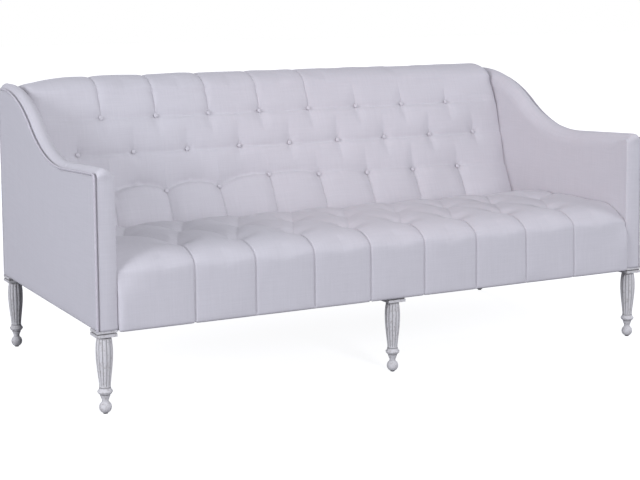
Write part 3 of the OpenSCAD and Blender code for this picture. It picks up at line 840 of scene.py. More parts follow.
@dataclass(frozen=True)
class Tuft:
    """A place where a pad is pulled in."""

    across: float
    along: float
    depth: float
    wide: float = 38 * MM

    def draw(self, across: np.ndarray, along: np.ndarray) -> np.ndarray:
        """How far the tuft draws the pad in at each place."""
        away = np.hypot(across - self.across, along - self.along)
        return self.depth * (0.4 * np.exp(-away / (13 * MM)) + 0.6 * np.exp(-((away / self.wide) ** 2)))

    def pucker(self, across: np.ndarray, along: np.ndarray, turn: float) -> np.ndarray:
        """Height of the small gathers round the tuft at each place.

        Args:
            across: Places across the pad.
            along: Places along the pad.
            turn: Turns the gathers round the tuft.

        Returns:
            The height at each place.
        """
        away = np.hypot(across - self.across, along - self.along)
        angle = np.arctan2(along - self.along, across - self.across)
        ring = np.exp(-away / (13 * MM)) * (1 - np.exp(-((away / (7 * MM)) ** 2)))
        return 1.5 * MM * ring * (np.cos(7 * angle + turn) + 0.6 * np.cos(4 * angle - 2 * turn))


# A light, fairly stiff cover that shrinks a little and is blown up from inside
CLOTH = {
    "quality": 5, "mass": 0.3, "tension_stiffness": 18, "compression_stiffness": 18, "shear_stiffness": 6,
    "bending_stiffness": 4, "use_pressure": True, "uniform_pressure_force": 4, "shrink_min": -0.012,
    "vertex_group_mass": "held",
}
CLOTH_FRAMES = 20


@dataclass
class TuftedPad:
    """A tufted pad: one cover over a curved side view, drawn in at tufts, creases and folds.

    Args:
        name: The piece's name.
        line: The crown of the pad in the side view.
        lining: The rest of its side view, back to the start.
        seed: Seed of the small unevenness of hand work.
        cell: Length of a face along the pad.
        shoulder: How much further the pad falls at each place.
        ease: The share of the swelling at each distance along.
        end_round: How far from its ends the pad starts to fall.
        end_drop: How far its ends fall, at the start of its line and at the end.
        end_press: How far its ends press into the padding of the arms.
    """

    name: str
    line: Line
    lining: list[Place]
    seed: int
    cell: float
    shoulder: Field
    ease: Callable[[np.ndarray], np.ndarray]
    end_round: float = 18 * MM
    end_drop: Place = mm(7, 15)
    end_press: float = 0.0
    tufts: list[Tuft] = field(default_factory=list)
    creases: list[Crease] = field(default_factory=list)
    folds: list[Fold] = field(default_factory=list)
    crowd: float = 0.6
    swell: float = 6 * MM
    softness: float = 3.0
    smooth: int = 8

    def drawn_in(self, across: np.ndarray, along: np.ndarray) -> np.ndarray:
        """How far the pad is drawn in below its crown at each place.

        Args:
            across: Places across the pad.
            along: Places along the pad.

        Returns:
            The depth at each place.
        """
        total = sum(part.draw(across, along) ** self.softness
                    for part in (*self.tufts, *self.creases, *self.folds))
        return total ** (1 / self.softness)

    def lumps(self, across: np.ndarray, along: np.ndarray) -> np.ndarray:
        """Slow waves of the stuffing, a millimetre or so high.

        Args:
            across: Places across the pad.
            along: Places along the pad.

        Returns:
            Their height at each place.
        """
        draw = np.random.default_rng(self.seed)
        total = np.zeros_like(across)
        for _ in range(14):
            length = draw.uniform(0.11, 0.32)
            angle = draw.uniform(0, math.pi)
            phase = draw.uniform(0, 2 * math.pi)
            run = across * math.cos(angle) + along * math.sin(angle)
            total += np.sin(2 * math.pi * run / length + phase)
        return total * 0.28 * MM

    def end_fall(self, across: np.ndarray, along: np.ndarray) -> np.ndarray:
        """How far the pad's ends fall where they meet the arms.

        Args:
            across: Places across the pad.
            along: Places along the pad.

        Returns:
            The fall at each place.
        """
        drop = self.end_drop[0] + (self.end_drop[1] - self.end_drop[0]) * along / self.line.length
        fall = drop * (1 - np.sqrt(1 - (0.999 * near_end(across, self.end_round)) ** 2))
        return (fall**3 + self.shoulder(across, along) ** 3) ** (1 / 3)

    def columns(self) -> np.ndarray:
        """Places across of the mesh's columns, closer together beside tufts and seams.

        Returns:
            The places, from left to right.
        """
        half, steps = PITCH / 2, 12
        halves = int(PAD_HALF // half)
        share = np.arange(steps) / steps
        share = share - self.crowd * np.sin(2 * math.pi * share) / (2 * math.pi)
        inner = np.concatenate([*[half * (k + share) for k in range(-halves, halves)], [half * halves]])
        ends = np.linspace(half * halves, PAD_HALF, 8)[1:]
        return np.concatenate([-ends[::-1], inner, ends])

    def base_mesh(self) -> Mesh:
        """The pad before it swells, as a closed mesh with its places kept on its vertices.

        Returns:
            The mesh.
        """
        columns = self.columns()
        rows = round(self.line.length / self.cell)
        last = rows + len(self.lining) + 1
        mesh, column, row = grid_mesh(self.name, len(columns) - 1, last)
        across = columns[column]
        along = np.minimum(row, rows) / rows * self.line.length
        places, normals = self.line.at(along)
        fade = np.clip(np.minimum(along, self.line.length - along) / (30 * MM), 0, 1)
        move = -self.drawn_in(across, along) - self.end_fall(across, along)
        move += self.lumps(across, along) * fade
        side = places + normals * (move * self.hold(along))[:, None]
        lined = row > rows
        back = np.array([*self.lining, self.line.points[0]])
        side[lined] = back[row[lined] - rows - 1]
        side[row == last] = side[row == 0]
        wide = across + np.sign(across) * near_end(across, 40 * MM) * self.end_press
        write_points(mesh, np.stack([wide, side[:, 0] + FRONT_Y, side[:, 1]], axis=1))
        scale_uv(mesh, 2 * PAD_HALF, self.line.length * last / rows)
        keep_values(mesh, "across", across)
        keep_values(mesh, "along", np.where(lined, -1.0, along))
        keep_values(mesh, "lined", lined.astype(float))
        close_mesh(mesh)
        return mesh

    def hold(self, along: np.ndarray) -> np.ndarray:
        """How much of the drawing in reaches each place: none at the rear edge, which is sewn down."""
        return np.clip((self.line.length - along) / (20 * MM), 0, 1)

    def sewn(self, across: np.ndarray, along: np.ndarray, lined: np.ndarray) -> np.ndarray:
        """Whether the cover is held fast at each place.

        Args:
            across: Places across the pad.
            along: Places along the pad.
            lined: Above 0 where the cover lies against the frame.

        Returns:
            True where it is.
        """
        held = (lined > 0.01) | (along < 1 * MM) | (along > self.line.length - 1 * MM)
        held |= np.abs(across) > PAD_HALF - 1 * MM
        for tuft in self.tufts:
            held |= np.hypot(across - tuft.across, along - tuft.along) < 9 * MM
        for crease in self.creases:
            if crease.sewn:
                held |= crease.measure(across, along)[1] < 2 * MM
        return held

    def swell_cloth(self, piece: Object) -> None:
        """Blows the cover up between its tufts and seams with a short cloth simulation.

        Args:
            piece: The piece.
        """
        mesh, scene = piece.data, bpy.context.scene
        across, along, lined = (read_values(mesh, key) for key in ("across", "along", "lined"))
        held = self.sewn(across, along, lined)
        group = piece.vertex_groups.new(name="held")
        group.add([int(i) for i in np.nonzero(held)[0]], 1.0, "REPLACE")
        cloth = piece.modifiers.new("cloth", "CLOTH")
        for key, value in CLOTH.items():
            setattr(cloth.settings, key, value)
        cloth.settings.effector_weights.gravity = 0
        cloth.point_cache.frame_start, cloth.point_cache.frame_end = 1, CLOTH_FRAMES
        start = read_vectors(mesh)
        for number in range(1, CLOTH_FRAMES + 1):
            scene.frame_set(number)
        shown = piece.evaluated_get(bpy.context.evaluated_depsgraph_get())
        moved = read_vectors(shown.data) - start
        piece.modifiers.clear()
        scene.frame_set(1)
        moved = smoothed(mesh, moved, held, self.smooth)
        far = np.linalg.norm(moved, axis=1)
        most = self.swell * np.clip(self.ease(along), 0.05, 1)
        limit = most * np.tanh(far / most)
        moved *= (limit / np.maximum(far, 1e-9))[:, None]
        moved[held] = 0
        write_points(mesh, start + moved)
        LOG.info("%s swelled by up to %.1f mm", piece.name, limit.max() / MM)

    def build(self) -> Object:
        """Makes the pad's piece.

        Returns:
            The piece.
        """
        piece = object_of(self.base_mesh())
        self.swell_cloth(piece)
        subdivide(piece)
        self.stitch(piece.data)
        return piece

    def stitch(self, mesh: Mesh) -> None:
        """Draws the cover in along its seams and gathers it round its tufts.

        Args:
            mesh: The mesh.
        """
        across, along, lined = (read_values(mesh, key) for key in ("across", "along", "lined"))
        draw = np.random.default_rng(self.seed + 100)
        cut = np.zeros_like(across)
        for part in (*self.creases, *self.folds):
            cut = np.maximum(cut, part.cut(across, along))
        gathers = sum(tuft.pucker(across, along, draw.uniform(0, 6)) for tuft in self.tufts)
        move = (gathers - cut) * (lined < 0.01) * self.hold(along)
        write_points(mesh, read_vectors(mesh) + read_vectors(mesh, "normal") * move[:, None])


@dataclass
class Seat:
    """The tufted seat with its front border, one cover."""

    nose_d: float = 118 * MM
    nose_h: float = 55 * MM
    fall_run: float = 275 * MM
    fall_h: float = 86 * MM
    first_row: float = 130 * MM
    last_gap: float = 139 * MM
    pull: tuple[float, ...] = mm(30, 23, 22)
    seam: float = 7 * MM
    corner_w: float = 120 * MM
    corner_fall: float = 24 * MM
    skirt: float = 7 * MM
    tuck: float = 40 * MM
    lining_d: float = RAIL_Y - FRONT_Y
    rear_d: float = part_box("seat_pad")[1].y - FRONT_Y

    def line(self) -> Line:
        """The seat's crown, from the foot of its front border to its rear edge.

        Returns:
            The line.
        """
        border = [(-SEAT_OVERHANG, LEG_H - self.skirt + t * 10 * MM) for t in range(13)]
        nose = arc((self.nose_d, SEAT_H - self.nose_h), (-self.nose_d - SEAT_OVERHANG, self.nose_h),
                   0, 90, 40)
        flat = np.linspace(self.nose_d, self.rear_d - self.fall_run, 30)[1:-1]
        fall = arc((self.rear_d - self.fall_run, SEAT_H - self.fall_h), (self.fall_run, self.fall_h),
                   90, 5, 40)
        rear = (self.rear_d + self.tuck, FOAM_Z + 3 * MM)
        return Line([*border, *nose, *((float(d), SEAT_H) for d in flat), *fall, rear])

    def lining(self) -> list[Place]:
        """The underside: over the foam, and down behind the front border."""
        front = self.lining_d
        return [(self.rear_d + self.tuck, FOAM_Z), (front, FOAM_Z), (front, LEG_H - self.skirt)]

    def build(self, wardrobe: Wardrobe) -> None:
        """Makes the seat pad.

        Args:
            wardrobe: The finishes.
        """
        line = self.line()
        step = (self.rear_d - self.last_gap - self.first_row) / 2
        rows = [line.nearest(depth=self.first_row + i * step) for i in range(3)]
        nose, top = line.nearest(height=SEAT_H - self.nose_h), line.nearest(depth=self.nose_d)

        def corners(across: np.ndarray, along: np.ndarray) -> np.ndarray:
            """How far the nose falls towards the arms, where it is rounder."""
            share = np.clip((along - nose + 90 * MM) / (top - nose + 95 * MM), 0, 1)
            return self.corner_fall * near_end(across, self.corner_w) ** 2 * np.sin(math.pi * share) ** 2

        def firmer_border(along: np.ndarray) -> np.ndarray:
            """The share of the swelling: small on the front border, full from the first row."""
            return 0.3 + 0.7 * np.clip((along - nose) / (rows[0] - nose), 0, 1)

        pad = TuftedPad("seat_cushion_cover", line, self.lining(), 5, 9 * MM, corners, firmer_border)
        self.sew(pad, rows, nose)
        hand_over(pad.build(), wardrobe.linen, ["seat_pad"])

    def sew(self, pad: TuftedPad, rows: list[float], nose: float) -> None:
        """Adds the tufts, the channels of the border and the creases between tufts.

        Args:
            pad: The pad to sew.
            rows: Distances along the pad of the rows of tufts.
            nose: Distance along the pad of the foot of its rounded nose.
        """
        draw = np.random.default_rng(11)
        for r, along in enumerate(rows):
            pad.tufts += [Tuft(x, along, self.pull[r] * draw.uniform(0.92, 1.08)) for x in tuft_x(r)]
        for x in tuft_x(0):
            depth = self.seam * draw.uniform(0.85, 1.15)
            pad.creases += [
                Crease((x, -20 * MM), (x, nose), mm(1, 2), (depth, depth)),
                Crease((x, nose), (x, rows[0]), mm(2, 9), (depth, depth)),
                Crease((x, rows[2]), (x, pad.line.length), mm(12, 15), mm(4, 4), 30 * MM),
            ]
        for r in (0, 1):
            for end, x in ((x + way * PITCH, x) for x in tuft_x(r) for way in (-0.5, 0.5)):
                if abs(end) < PAD_HALF - PITCH / 3:
                    depth = draw.uniform(9, 12) * MM
                    pad.creases.append(Crease((x, rows[r]), (end, rows[r + 1]), (depth, depth), mm(5, 3),
                                              *mm(24, 2.2), rise=0.45, sewn=False))
        for sign in (-1, 1):
            pad.creases.append(Crease((sign * tuft_x(1)[-1], rows[1]), (sign * PAD_HALF, rows[1] + 60 * MM),
                                      mm(10, 6), mm(4, 2), *mm(24, 2.2), sewn=False))


@dataclass
class Back:
    """The buttoned back, one cover that wraps over the top, and its covered buttons.

    The lobes under its lowest row of buttons flatten from left to right, so each has its own sizes.
    """

    crown: float = 40 * MM
    low_row_up: float = 84 * MM
    top_row_drop: float = 131 * MM
    crest_back: float = 58 * MM
    crest_h: float = 58 * MM
    rear_gap: float = 2 * MM
    pull: tuple[float, ...] = mm(20, 18, 16)
    fold: float = 14 * MM
    fold_reach: Place = mm(24, 46)
    arch: Place = mm(-7, -6)
    low_depths: tuple[float, ...] = mm(34, 35, 34, 26, 17, 13, 11, 11, 11)
    low_arches: tuple[float, ...] = mm(30, 30, 29, 19, 12, 8, 7, 7, 5)
    low_reach: Place = mm(62, 42)
    shoulder_w: float = 170 * MM
    shoulder_fall: float = 28 * MM
    foot_fall: float = 46 * MM
    button_r: float = 7.6 * MM
    button_h: float = 3.2 * MM
    row_lift: float = 5 * MM
    low_row_lift: tuple[float, ...] = mm(-12, -12, -10, 18, 7, 0, 0, 0)
    seam_firm: tuple[float, ...] = (1.0, 1.0, 1.0, 0.7, 0.5, 0.4, 0.4, 0.5)
    long_seams: int = 5
    wood_top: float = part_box("back_top_rail")[1].z

    def line(self) -> Line:
        """The back's crown, from its lowest lobes over the crest to the rear edge.

        Returns:
            The line.
        """
        low = FOAM_Z + 26 * MM
        crest_d, crest_z = SIDE_D - self.crest_back, BACK_TOP - self.crest_h
        rear_z = self.wood_top + 10 * MM
        lobes = [(lean(low + up, out), low + up)
                 for up, out in (mm(0, -26), mm(18, -48), mm(48, -52), mm(88, -46))]
        rows = [(lean(z, -self.crown), z) for z in map(self.row_z, range(3))]
        crest = arc((crest_d, crest_z), (lean(crest_z, -30 * MM) - crest_d, self.crest_h), 0, 90, 6)
        over = arc((crest_d, rear_z), (SIDE_D - self.rear_gap - crest_d, BACK_TOP - rear_z), 90, 0, 4)[1:]
        return Line(curve_through([*lobes, *rows, *crest, *over]))

    def row_z(self, row: int) -> float:
        """Height of a row of buttons, counted from the lowest."""
        low, high = SEAT_H + self.low_row_up, BACK_TOP - self.top_row_drop
        return low + (high - low) * row / 2

    def lining(self) -> list[Place]:
        """The rear of the pad: down in front of the frame to the lowest lobe."""
        low, top = FOAM_Z + 24 * MM, self.wood_top + 0.3 * MM
        return [(SIDE_D - self.rear_gap, top), (lean(top, 7.7 * MM), top), (lean(low, 7.7 * MM), low)]

    def build(self, wardrobe: Wardrobe) -> None:
        """Makes the back pad and the buttons.

        Args:
            wardrobe: The finishes.
        """
        line = self.line()
        rows = [line.nearest(height=self.row_z(r)) for r in range(3)]
        peak = line.nearest(height=BACK_TOP)

        def shoulder(across: np.ndarray, along: np.ndarray) -> np.ndarray:
            """How far the top falls towards the left end, and the foot of the back towards both ends.

            Args:
                across: Places across the pad.
                along: Places along the pad.

            Returns:
                The fall at each place.
            """
            near = near_end(across, self.shoulder_w)
            rise = np.clip((along - rows[2] - 30 * MM) / (peak - rows[2] - 30 * MM), 0, 1)
            over = np.clip((line.length - along) / (line.length - peak), 0, 1)
            high = self.shoulder_fall * near**1.6 * rise**2 * over**0.5 * (across < 0)
            low = self.foot_fall * near**2.4 * np.sqrt(np.clip(1 - along / rows[2], 0, 1))
            return high + low * np.clip(along / (20 * MM), 0, 1)

        def firmer_top(along: np.ndarray) -> np.ndarray:
            """The share of the swelling: less above the top row."""
            return 1 - 0.55 * np.clip((along - rows[2]) / (40 * MM), 0, 1)

        pad = TuftedPad("back_cushion_cover", line, self.lining(), 9, 8 * MM, shoulder, firmer_top,
                        34 * MM, mm(22, 34), 5 * MM)
        self.sew(pad, rows)
        hand_over(pad.build(), wardrobe.linen, ["back_pad"])
        self.buttons(pad, wardrobe)

    def sew(self, pad: TuftedPad, rows: list[float]) -> None:
        """Adds the tufts with their creases, the folds through the rows, and the upright seams.

        Args:
            pad: The pad to sew.
            rows: Distances along the pad of the rows of tufts.
        """
        draw = np.random.default_rng(23)
        for r, row in enumerate(rows):
            lifts = self.low_row_lift if r == 0 else (self.row_lift,) * TUFTS
            knots = [(x, row + lift) for x, lift in zip(tuft_x(r), lifts)]
            for x, along in knots:
                pad.tufts.append(Tuft(x, along, self.pull[r] * draw.uniform(0.88, 1.06), 30 * MM))
                for way in (-1, 1):
                    reach = draw.uniform(26, 52) * MM
                    tip = (x + way * reach, along + draw.uniform(-9, 7) * MM)
                    pad.creases.append(Crease((x + way * 6 * MM, along), tip, (0, 0), mm(2.6, 0.2),
                                              narrow=2.2 * MM, sewn=False))
                pinch = (x + draw.uniform(-3, 3) * MM, along + draw.uniform(20, 36) * MM)
                pad.creases.append(Crease((x, along + 4 * MM), pinch, mm(5, 0), mm(3, 0.3), *mm(9, 1.9),
                                          sewn=False))
            gaps = len(knots) + 1
            if r == 0:
                sizes = (self.low_depths, self.low_arches, self.low_reach, (1.0, 0.3))
            else:
                sizes = ((self.fold,) * gaps, (self.arch[r - 1],) * gaps, self.fold_reach, (0.2, 0.2))
            pad.folds.append(Fold(tuple(knots), self.fold, *sizes))
        for k, (x, firm) in enumerate(zip(tuft_x(0), self.seam_firm)):
            foot, long = rows[0] + self.low_row_lift[k], k < self.long_seams
            pad.creases.append(Crease((x, -10 * MM), (x, foot), mm(9 * firm, 9), mm(4.5 * firm, 4.5),
                                      22 * MM))
            tip = (x, pad.line.length + 10 * MM if long else rows[2] + 46 * MM)
            pad.creases.append(Crease((x, rows[2]), tip, mm(5 * firm, 1.6 * firm), mm(3.8, 2.8 * firm),
                                      11 * MM, sewn=long))

    def buttons(self, pad: TuftedPad, wardrobe: Wardrobe) -> None:
        """Makes the covered buttons, each seated in its tuft.

        Args:
            pad: The pad that they sit in.
            wardrobe: The finishes.
        """
        dome = [(a * self.button_r, b * self.button_h) for a, b in (
            (0, 1), (0.45, 0.93), (0.78, 0.66), (0.96, 0.3), (1, 0), (0.9, -0.25), (0, -0.3))]
        mesh = bpy.data.meshes.new("covered_buttons")
        with editing(mesh) as bm:
            bm.loops.layers.uv.new("weave")
            for tuft in pad.tufts:
                place, normal = pad.line.at(np.array([tuft.along]))
                seat = place[0] - normal[0] * (tuft.depth - 4.2 * MM)
                turn = Vector((0, *normal[0])).to_track_quat("Z", "Y").to_matrix().to_4x4()
                matrix = Matrix.Translation((tuft.across, seat[0] + FRONT_Y, seat[1])) @ turn
                bmesh.ops.transform(bm, matrix=matrix, verts=spin_profile(bm, dome, 24))
            flat_uv(bm, bm.faces, 0, 2)
            bmesh.ops.recalc_face_normals(bm, faces=bm.faces)
        hand_over(object_of(mesh), wardrobe.linen, ["back_buttons"])


# Arms


@dataclass
class ArmEdge:
    """The line of an arm's outer edge: up its front, round a corner and along its sweep."""

    arm_h: float = 680 * MM
    rear_h: float = 866 * MM
    sweep_d: float = 290 * MM
    level: float = 41 * MM
    fall: float = math.radians(2.5)
    corner_r: float = 12 * MM

    def line(self) -> Line:
        """The edge as a line, from the foot of the arm's front to the back.

        Returns:
            The line.
        """
        f, deg = self.fall, math.degrees
        start_z = self.arm_h - self.sweep_d * math.tan(f)
        end_d = SIDE_D - self.level
        tilt = math.atan2(self.rear_h - start_z, end_d - self.sweep_d)
        slope = tilt + math.acos((math.cos(f) + 1 - math.tan(tilt) * math.sin(f)) * math.cos(tilt) / 2)
        r = (end_d - self.sweep_d) / (math.sin(f) + 2 * math.sin(slope))
        corner_z = self.arm_h - self.corner_r * ((1 + math.sin(f)) * math.tan(f) + math.cos(f))
        front = [(0.0, float(z)) for z in np.linspace(LEG_H, corner_z, 88)[:-1]]
        corner = arc((self.corner_r, corner_z), (self.corner_r, self.corner_r), 180, 90 - deg(f), 14)
        hollow = arc((self.sweep_d + r * math.sin(f), start_z + r * math.cos(f)), (r, r),
                     -90 - deg(f), -90 + deg(slope), 60)
        shoulder = arc((end_d, self.rear_h - r), (r, r), 90 + deg(slope), 90, 60)[1:]
        run = np.linspace(corner[-1][0], self.sweep_d, 60)[1:-1]
        falling = [(float(d), self.arm_h - float(d) * math.tan(f)) for d in run]
        rear = [(float(d), self.rear_h) for d in np.linspace(end_d, SIDE_D, 10)[1:]]
        return Line([*front, *corner, *falling, *hollow, *shoulder, *rear])


@dataclass
class Arm:
    """One arm: the cover over its top, front and inside, its welt and its outside panel."""

    side: Side
    front_share: float = 0.13
    tuck_share: float = 0.16
    tuck_run: float = 80 * MM
    base: float = 10 * MM
    thick: float = 6 * MM
    inside_low: float = RAIL_TOP
    inside_step: float = 18 * MM
    step: float = 6 * MM
    pleats: float = 1.8 * MM
    flap: float = 12 * MM
    short: float = 2.5 * MM
    edge: ArmEdge = field(default_factory=ArmEdge)

    def section(self) -> np.ndarray:
        """The cover's section on top of the arm, from the welt over the crown to the inside face.

        Returns:
            Rows of a place across and a height over the arm's edge.
        """
        shape = [(58, -5.5), (56.6, -7), (55.2, -7), (54.3, -4), (52.6, 2.5), (48, 9.5), (41, 14.3),
                 (33, 15.9), (24, 13.5), (16, 7.5), (9, -2), (3.5, -14), (0.8, -26), (0, -36), (0, -44)]
        made = np.array(curve_through([mm(*point) for point in shape], 3))
        made[:, 0] = np.minimum(ARM_INNER + made[:, 0], ARM_OUTER)
        return made

    def rings(self) -> np.ndarray:
        """Places of the section's points along the arm's edge, as [ring, point, coordinate].

        Returns:
            The points of each ring.
        """
        line = self.edge.line()
        corner = line.nearest(height=self.edge.arm_h - self.edge.corner_r)
        along = np.linspace(0, line.length - self.short, round(line.length / self.step) + 1)
        along = np.sort(np.concatenate([along, corner + np.arange(1, 30) * 1.2 * MM]))
        places, normals = line.at(along)
        wide, high = self.section().T
        outer = np.clip((wide - ARM_INNER - 38 * MM) / (10 * MM), 0, 1)
        inner = wide < ARM_INNER + 30 * MM
        made = []
        for p, n, place in zip(places, normals, along):
            crown = self.front_share + (1 - self.front_share) * float(np.clip(n[1], 0, 1))
            share = float(np.clip(min(p[0] - self.edge.corner_r, SIDE_D - p[0]) / self.tuck_run, 0, 1))
            tuck = self.tuck_share + (1 - self.tuck_share) * eased(share)
            offset = high * np.where(high > 0, crown, np.where(inner, tuck, 1.0))
            pleat = math.cos(place / (1.15 * MM)) * hump(place - corner, 11 * MM, 9 * MM)
            at = p + (offset + self.pleats * pleat * outer)[:, None] * n
            made.append(np.column_stack([wide, at[:, 0] + FRONT_Y, at[:, 1]]))
        return np.array([*self.end_rows(made[0], places[0], normals[0])[::-1], *made,
                         *self.end_rows(made[-1], places[-1], normals[-1])])

    def end_rows(self, ring: np.ndarray, place: np.ndarray, normal: np.ndarray) -> list[np.ndarray]:
        """Rows that turn the cover's end in, down to the wood.

        Args:
            ring: The points of the cover's last ring.
            place: The edge's point there, in depth and height.
            normal: The edge's outward normal there.

        Returns:
            The rows, from the ring inwards.
        """
        floor = place - normal * self.base
        low = ring.copy()
        high = (ring[:, 1] - floor[0] - FRONT_Y) * normal[0] + (ring[:, 2] - floor[1]) * normal[1] > 0
        low[high, 1], low[high, 2] = floor[0] + FRONT_Y, floor[1]
        return [ring + (low - ring) * t for t in (0.35, 1.0)]

    def cover(self, wardrobe: Wardrobe) -> None:
        """Makes the cover of the top, the front and the inside of the arm.

        Args:
            wardrobe: The finishes.
        """
        mesh = swept_mesh(f"arm_cover_{self.side.word}", self.rings())
        with editing(mesh) as bm:
            self.add_inside(bm)
            if self.side is Side.LEFT:
                bmesh.ops.scale(bm, vec=(-1, 1, 1), verts=bm.verts)
            bmesh.ops.recalc_face_normals(bm, faces=bm.faces)
            turn_towards(bm, Vector((-self.side.value, 0, 0)))
        piece = object_of(mesh)
        thicken(piece, self.thick, -1)
        nodes = [f"arm_top_pad_{self.side.word}", f"arm_inside_pad_{self.side.word}"]
        hand_over(piece, wardrobe.linen, nodes)

    def add_inside(self, bm: BMesh) -> None:
        """Adds the flat inside of the arm below the cover's rounded edge, cut into small faces.

        Args:
            bm: The mesh.
        """
        inner = {v for v in bm.verts if abs(v.co.x - ARM_INNER) < 0.01 * MM and v.is_boundary}
        edges = [e for e in bm.edges if e.is_boundary and inner.issuperset(e.verts)]
        ends = [v for v in inner if sum(e in edges for e in v.link_edges) == 1]
        front, rear = (pick(ends, key=lambda v: v.co.y) for pick in (min, max))
        foot_z = LEG_H + 1 * MM
        places = [(lean(self.inside_low) + FRONT_Y, self.inside_low), (RAIL_Y, self.inside_low - 60 * MM),
                  (RAIL_Y, foot_z)]
        if front.co.z > foot_z + 1 * MM:
            places.append((front.co.y, foot_z))
        corners = [rear, *(bm.verts.new((ARM_INNER, y, z)) for y, z in places), front]
        new = [bm.edges.new(pair) for pair in zip(corners, corners[1:])]
        faces = bmesh.ops.contextual_create(bm, geom=[*edges, *new])["faces"]
        flap = bmesh.ops.extrude_edge_only(bm, edges=[new[2]])["geom"]
        turned = [g for g in flap if isinstance(g, BMVert)]
        bmesh.ops.translate(bm, vec=(-self.flap, -0.3 * MM, 0), verts=turned)
        for axis in (1, 2):
            spots = [v.co[axis] for f in faces for v in f.verts]
            normal = Vector([float(axis == i) for i in range(3)])
            for value in np.arange(min(spots) + self.inside_step, max(spots), self.inside_step):
                faces = [f for f in faces if f.is_valid]
                geom = [*faces, *{e for f in faces for e in f.edges}, *{v for f in faces for v in f.verts}]
                cut = bmesh.ops.bisect_plane(bm, geom=geom, plane_co=normal * float(value), plane_no=normal)
                faces = [g for g in cut["geom"] if isinstance(g, BMFace)]
        flat_uv(bm, faces, 1, 2)
        for face in faces:
            face.smooth = True

    def welt(self, wardrobe: Wardrobe) -> None:
        """Makes the piping along the arm's outer edge.

        Args:
            wardrobe: The finishes.
        """
        line = self.edge.line()
        places, normals = line.at(np.linspace(0, line.length, round(line.length / (3 * MM)) + 1))
        around = np.linspace(0, 2 * math.pi, 13)[:-1]
        middle = (ARM_OUTER + WELT_R) * self.side.value
        rings = []
        for i, (p, n) in enumerate(zip(places, normals)):
            radius = WELT_R * (1 + 0.03 * math.sin(i * 0.9) + 0.03 * math.sin(i * 0.37))
            at = p + np.sin(around)[:, None] * radius * n
            rings.append(np.column_stack([middle + radius * np.cos(around), at[:, 0] + FRONT_Y, at[:, 1]]))
        mesh = swept_mesh(f"welt_{self.side.word}", np.array(rings), closed_ring=True)
        close_mesh(mesh)
        hand_over(object_of(mesh), wardrobe.welt_linen, [f"arm_welt_{self.side.word}"])

    def panel(self, wardrobe: Wardrobe) -> None:
        """Makes the outside panel, cut to the arm's edge.

        Args:
            wardrobe: The finishes.
        """
        line = self.edge.line()
        places, normals = line.at(np.linspace(0, line.length, 400))
        rim = places - normals * (WELT_R + 0.4 * MM)
        rim = rim[(normals[:, 1] > 0.05) & (rim[:, 0] < SIDE_D - 6 * MM)]
        columns = [(float(d), LEG_H, float(z)) for d, z in (*rim, (SIDE_D - 5 * MM, rim[-1][1]))]

        def pulled(d: float) -> float:
            """Height of the soft upright folds where the cloth is pulled tight behind the welt."""
            return 0.9 * MM * hump(d, *mm(16, 5)) + 0.5 * MM * hump(d, *mm(34, 7))

        out = self.side.value
        piece = padded_wall(f"outside_panel_{self.side.word}", columns, Vector((out, 0, 0)),
                            lambda d, z, puff: (out * (ARM_OUTER + puff + pulled(d)), d + FRONT_Y, z))
        hand_over(piece, wardrobe.linen, [f"outside_arm_{self.side.word}"])

    def build(self, wardrobe: Wardrobe) -> None:
        """Makes the pieces of the arm.

        Args:
            wardrobe: The finishes.
        """
        self.cover(wardrobe)
        self.welt(wardrobe)
        self.panel(wardrobe)


def padded_wall(name: str, columns: Sequence[Triple], out: Vector,
                place: Callable[[float, float, float], Triple]) -> Object:
    """A flat panel over a thin layer of padding, softly rounded at its rim.

    Args:
        name: The piece's name.
        columns: A place along the panel with its lowest and its highest point, for each column.
        out: The way that it faces.
        place: Turns a place along, a height and a distance out to a point.

    Returns:
        The piece.
    """
    along, low, high = np.array(columns).T[:, :, None]
    share = np.linspace(0, 1, 61)
    heights = low + (high - low) * (share - 0.09 * np.sin(2 * math.pi * share))
    wide = np.broadcast_to(along, heights.shape)
    ends = np.minimum(wide - along[0], along[-1] - wide)
    rim = np.minimum(ends, np.minimum(heights - low, high - heights))
    puff = 1.2 * MM + 3.7 * MM * (1 - np.exp(-rim / (6 * MM)))
    rings = np.array([[place(a, z, p) for a, z, p in zip(*row)] for row in zip(wide, heights, puff)])
    mesh = swept_mesh(name, rings)
    with editing(mesh) as bm:
        turn_towards(bm, out)
    piece = object_of(mesh)
    thicken(piece, 1.1 * MM, -1)
    return piece


@dataclass
class OutsideBack:
    """The panel that closes the back."""

    columns: int = 120
    lap: float = 7 * MM

    def build(self, wardrobe: Wardrobe) -> None:
        """Makes the panel.

        Args:
            wardrobe: The finishes.
        """
        low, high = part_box("outside_back")
        columns = [(float(x), low.z, high.z + self.lap) for x in np.linspace(low.x, high.x, self.columns)]
        piece = padded_wall("outside_panel_back", columns, Vector((0, 1, 0)),
                            lambda x, z, puff: (x, low.y + puff, z))
        hand_over(piece, wardrobe.linen, ["outside_back"])


# Cloth under the frame


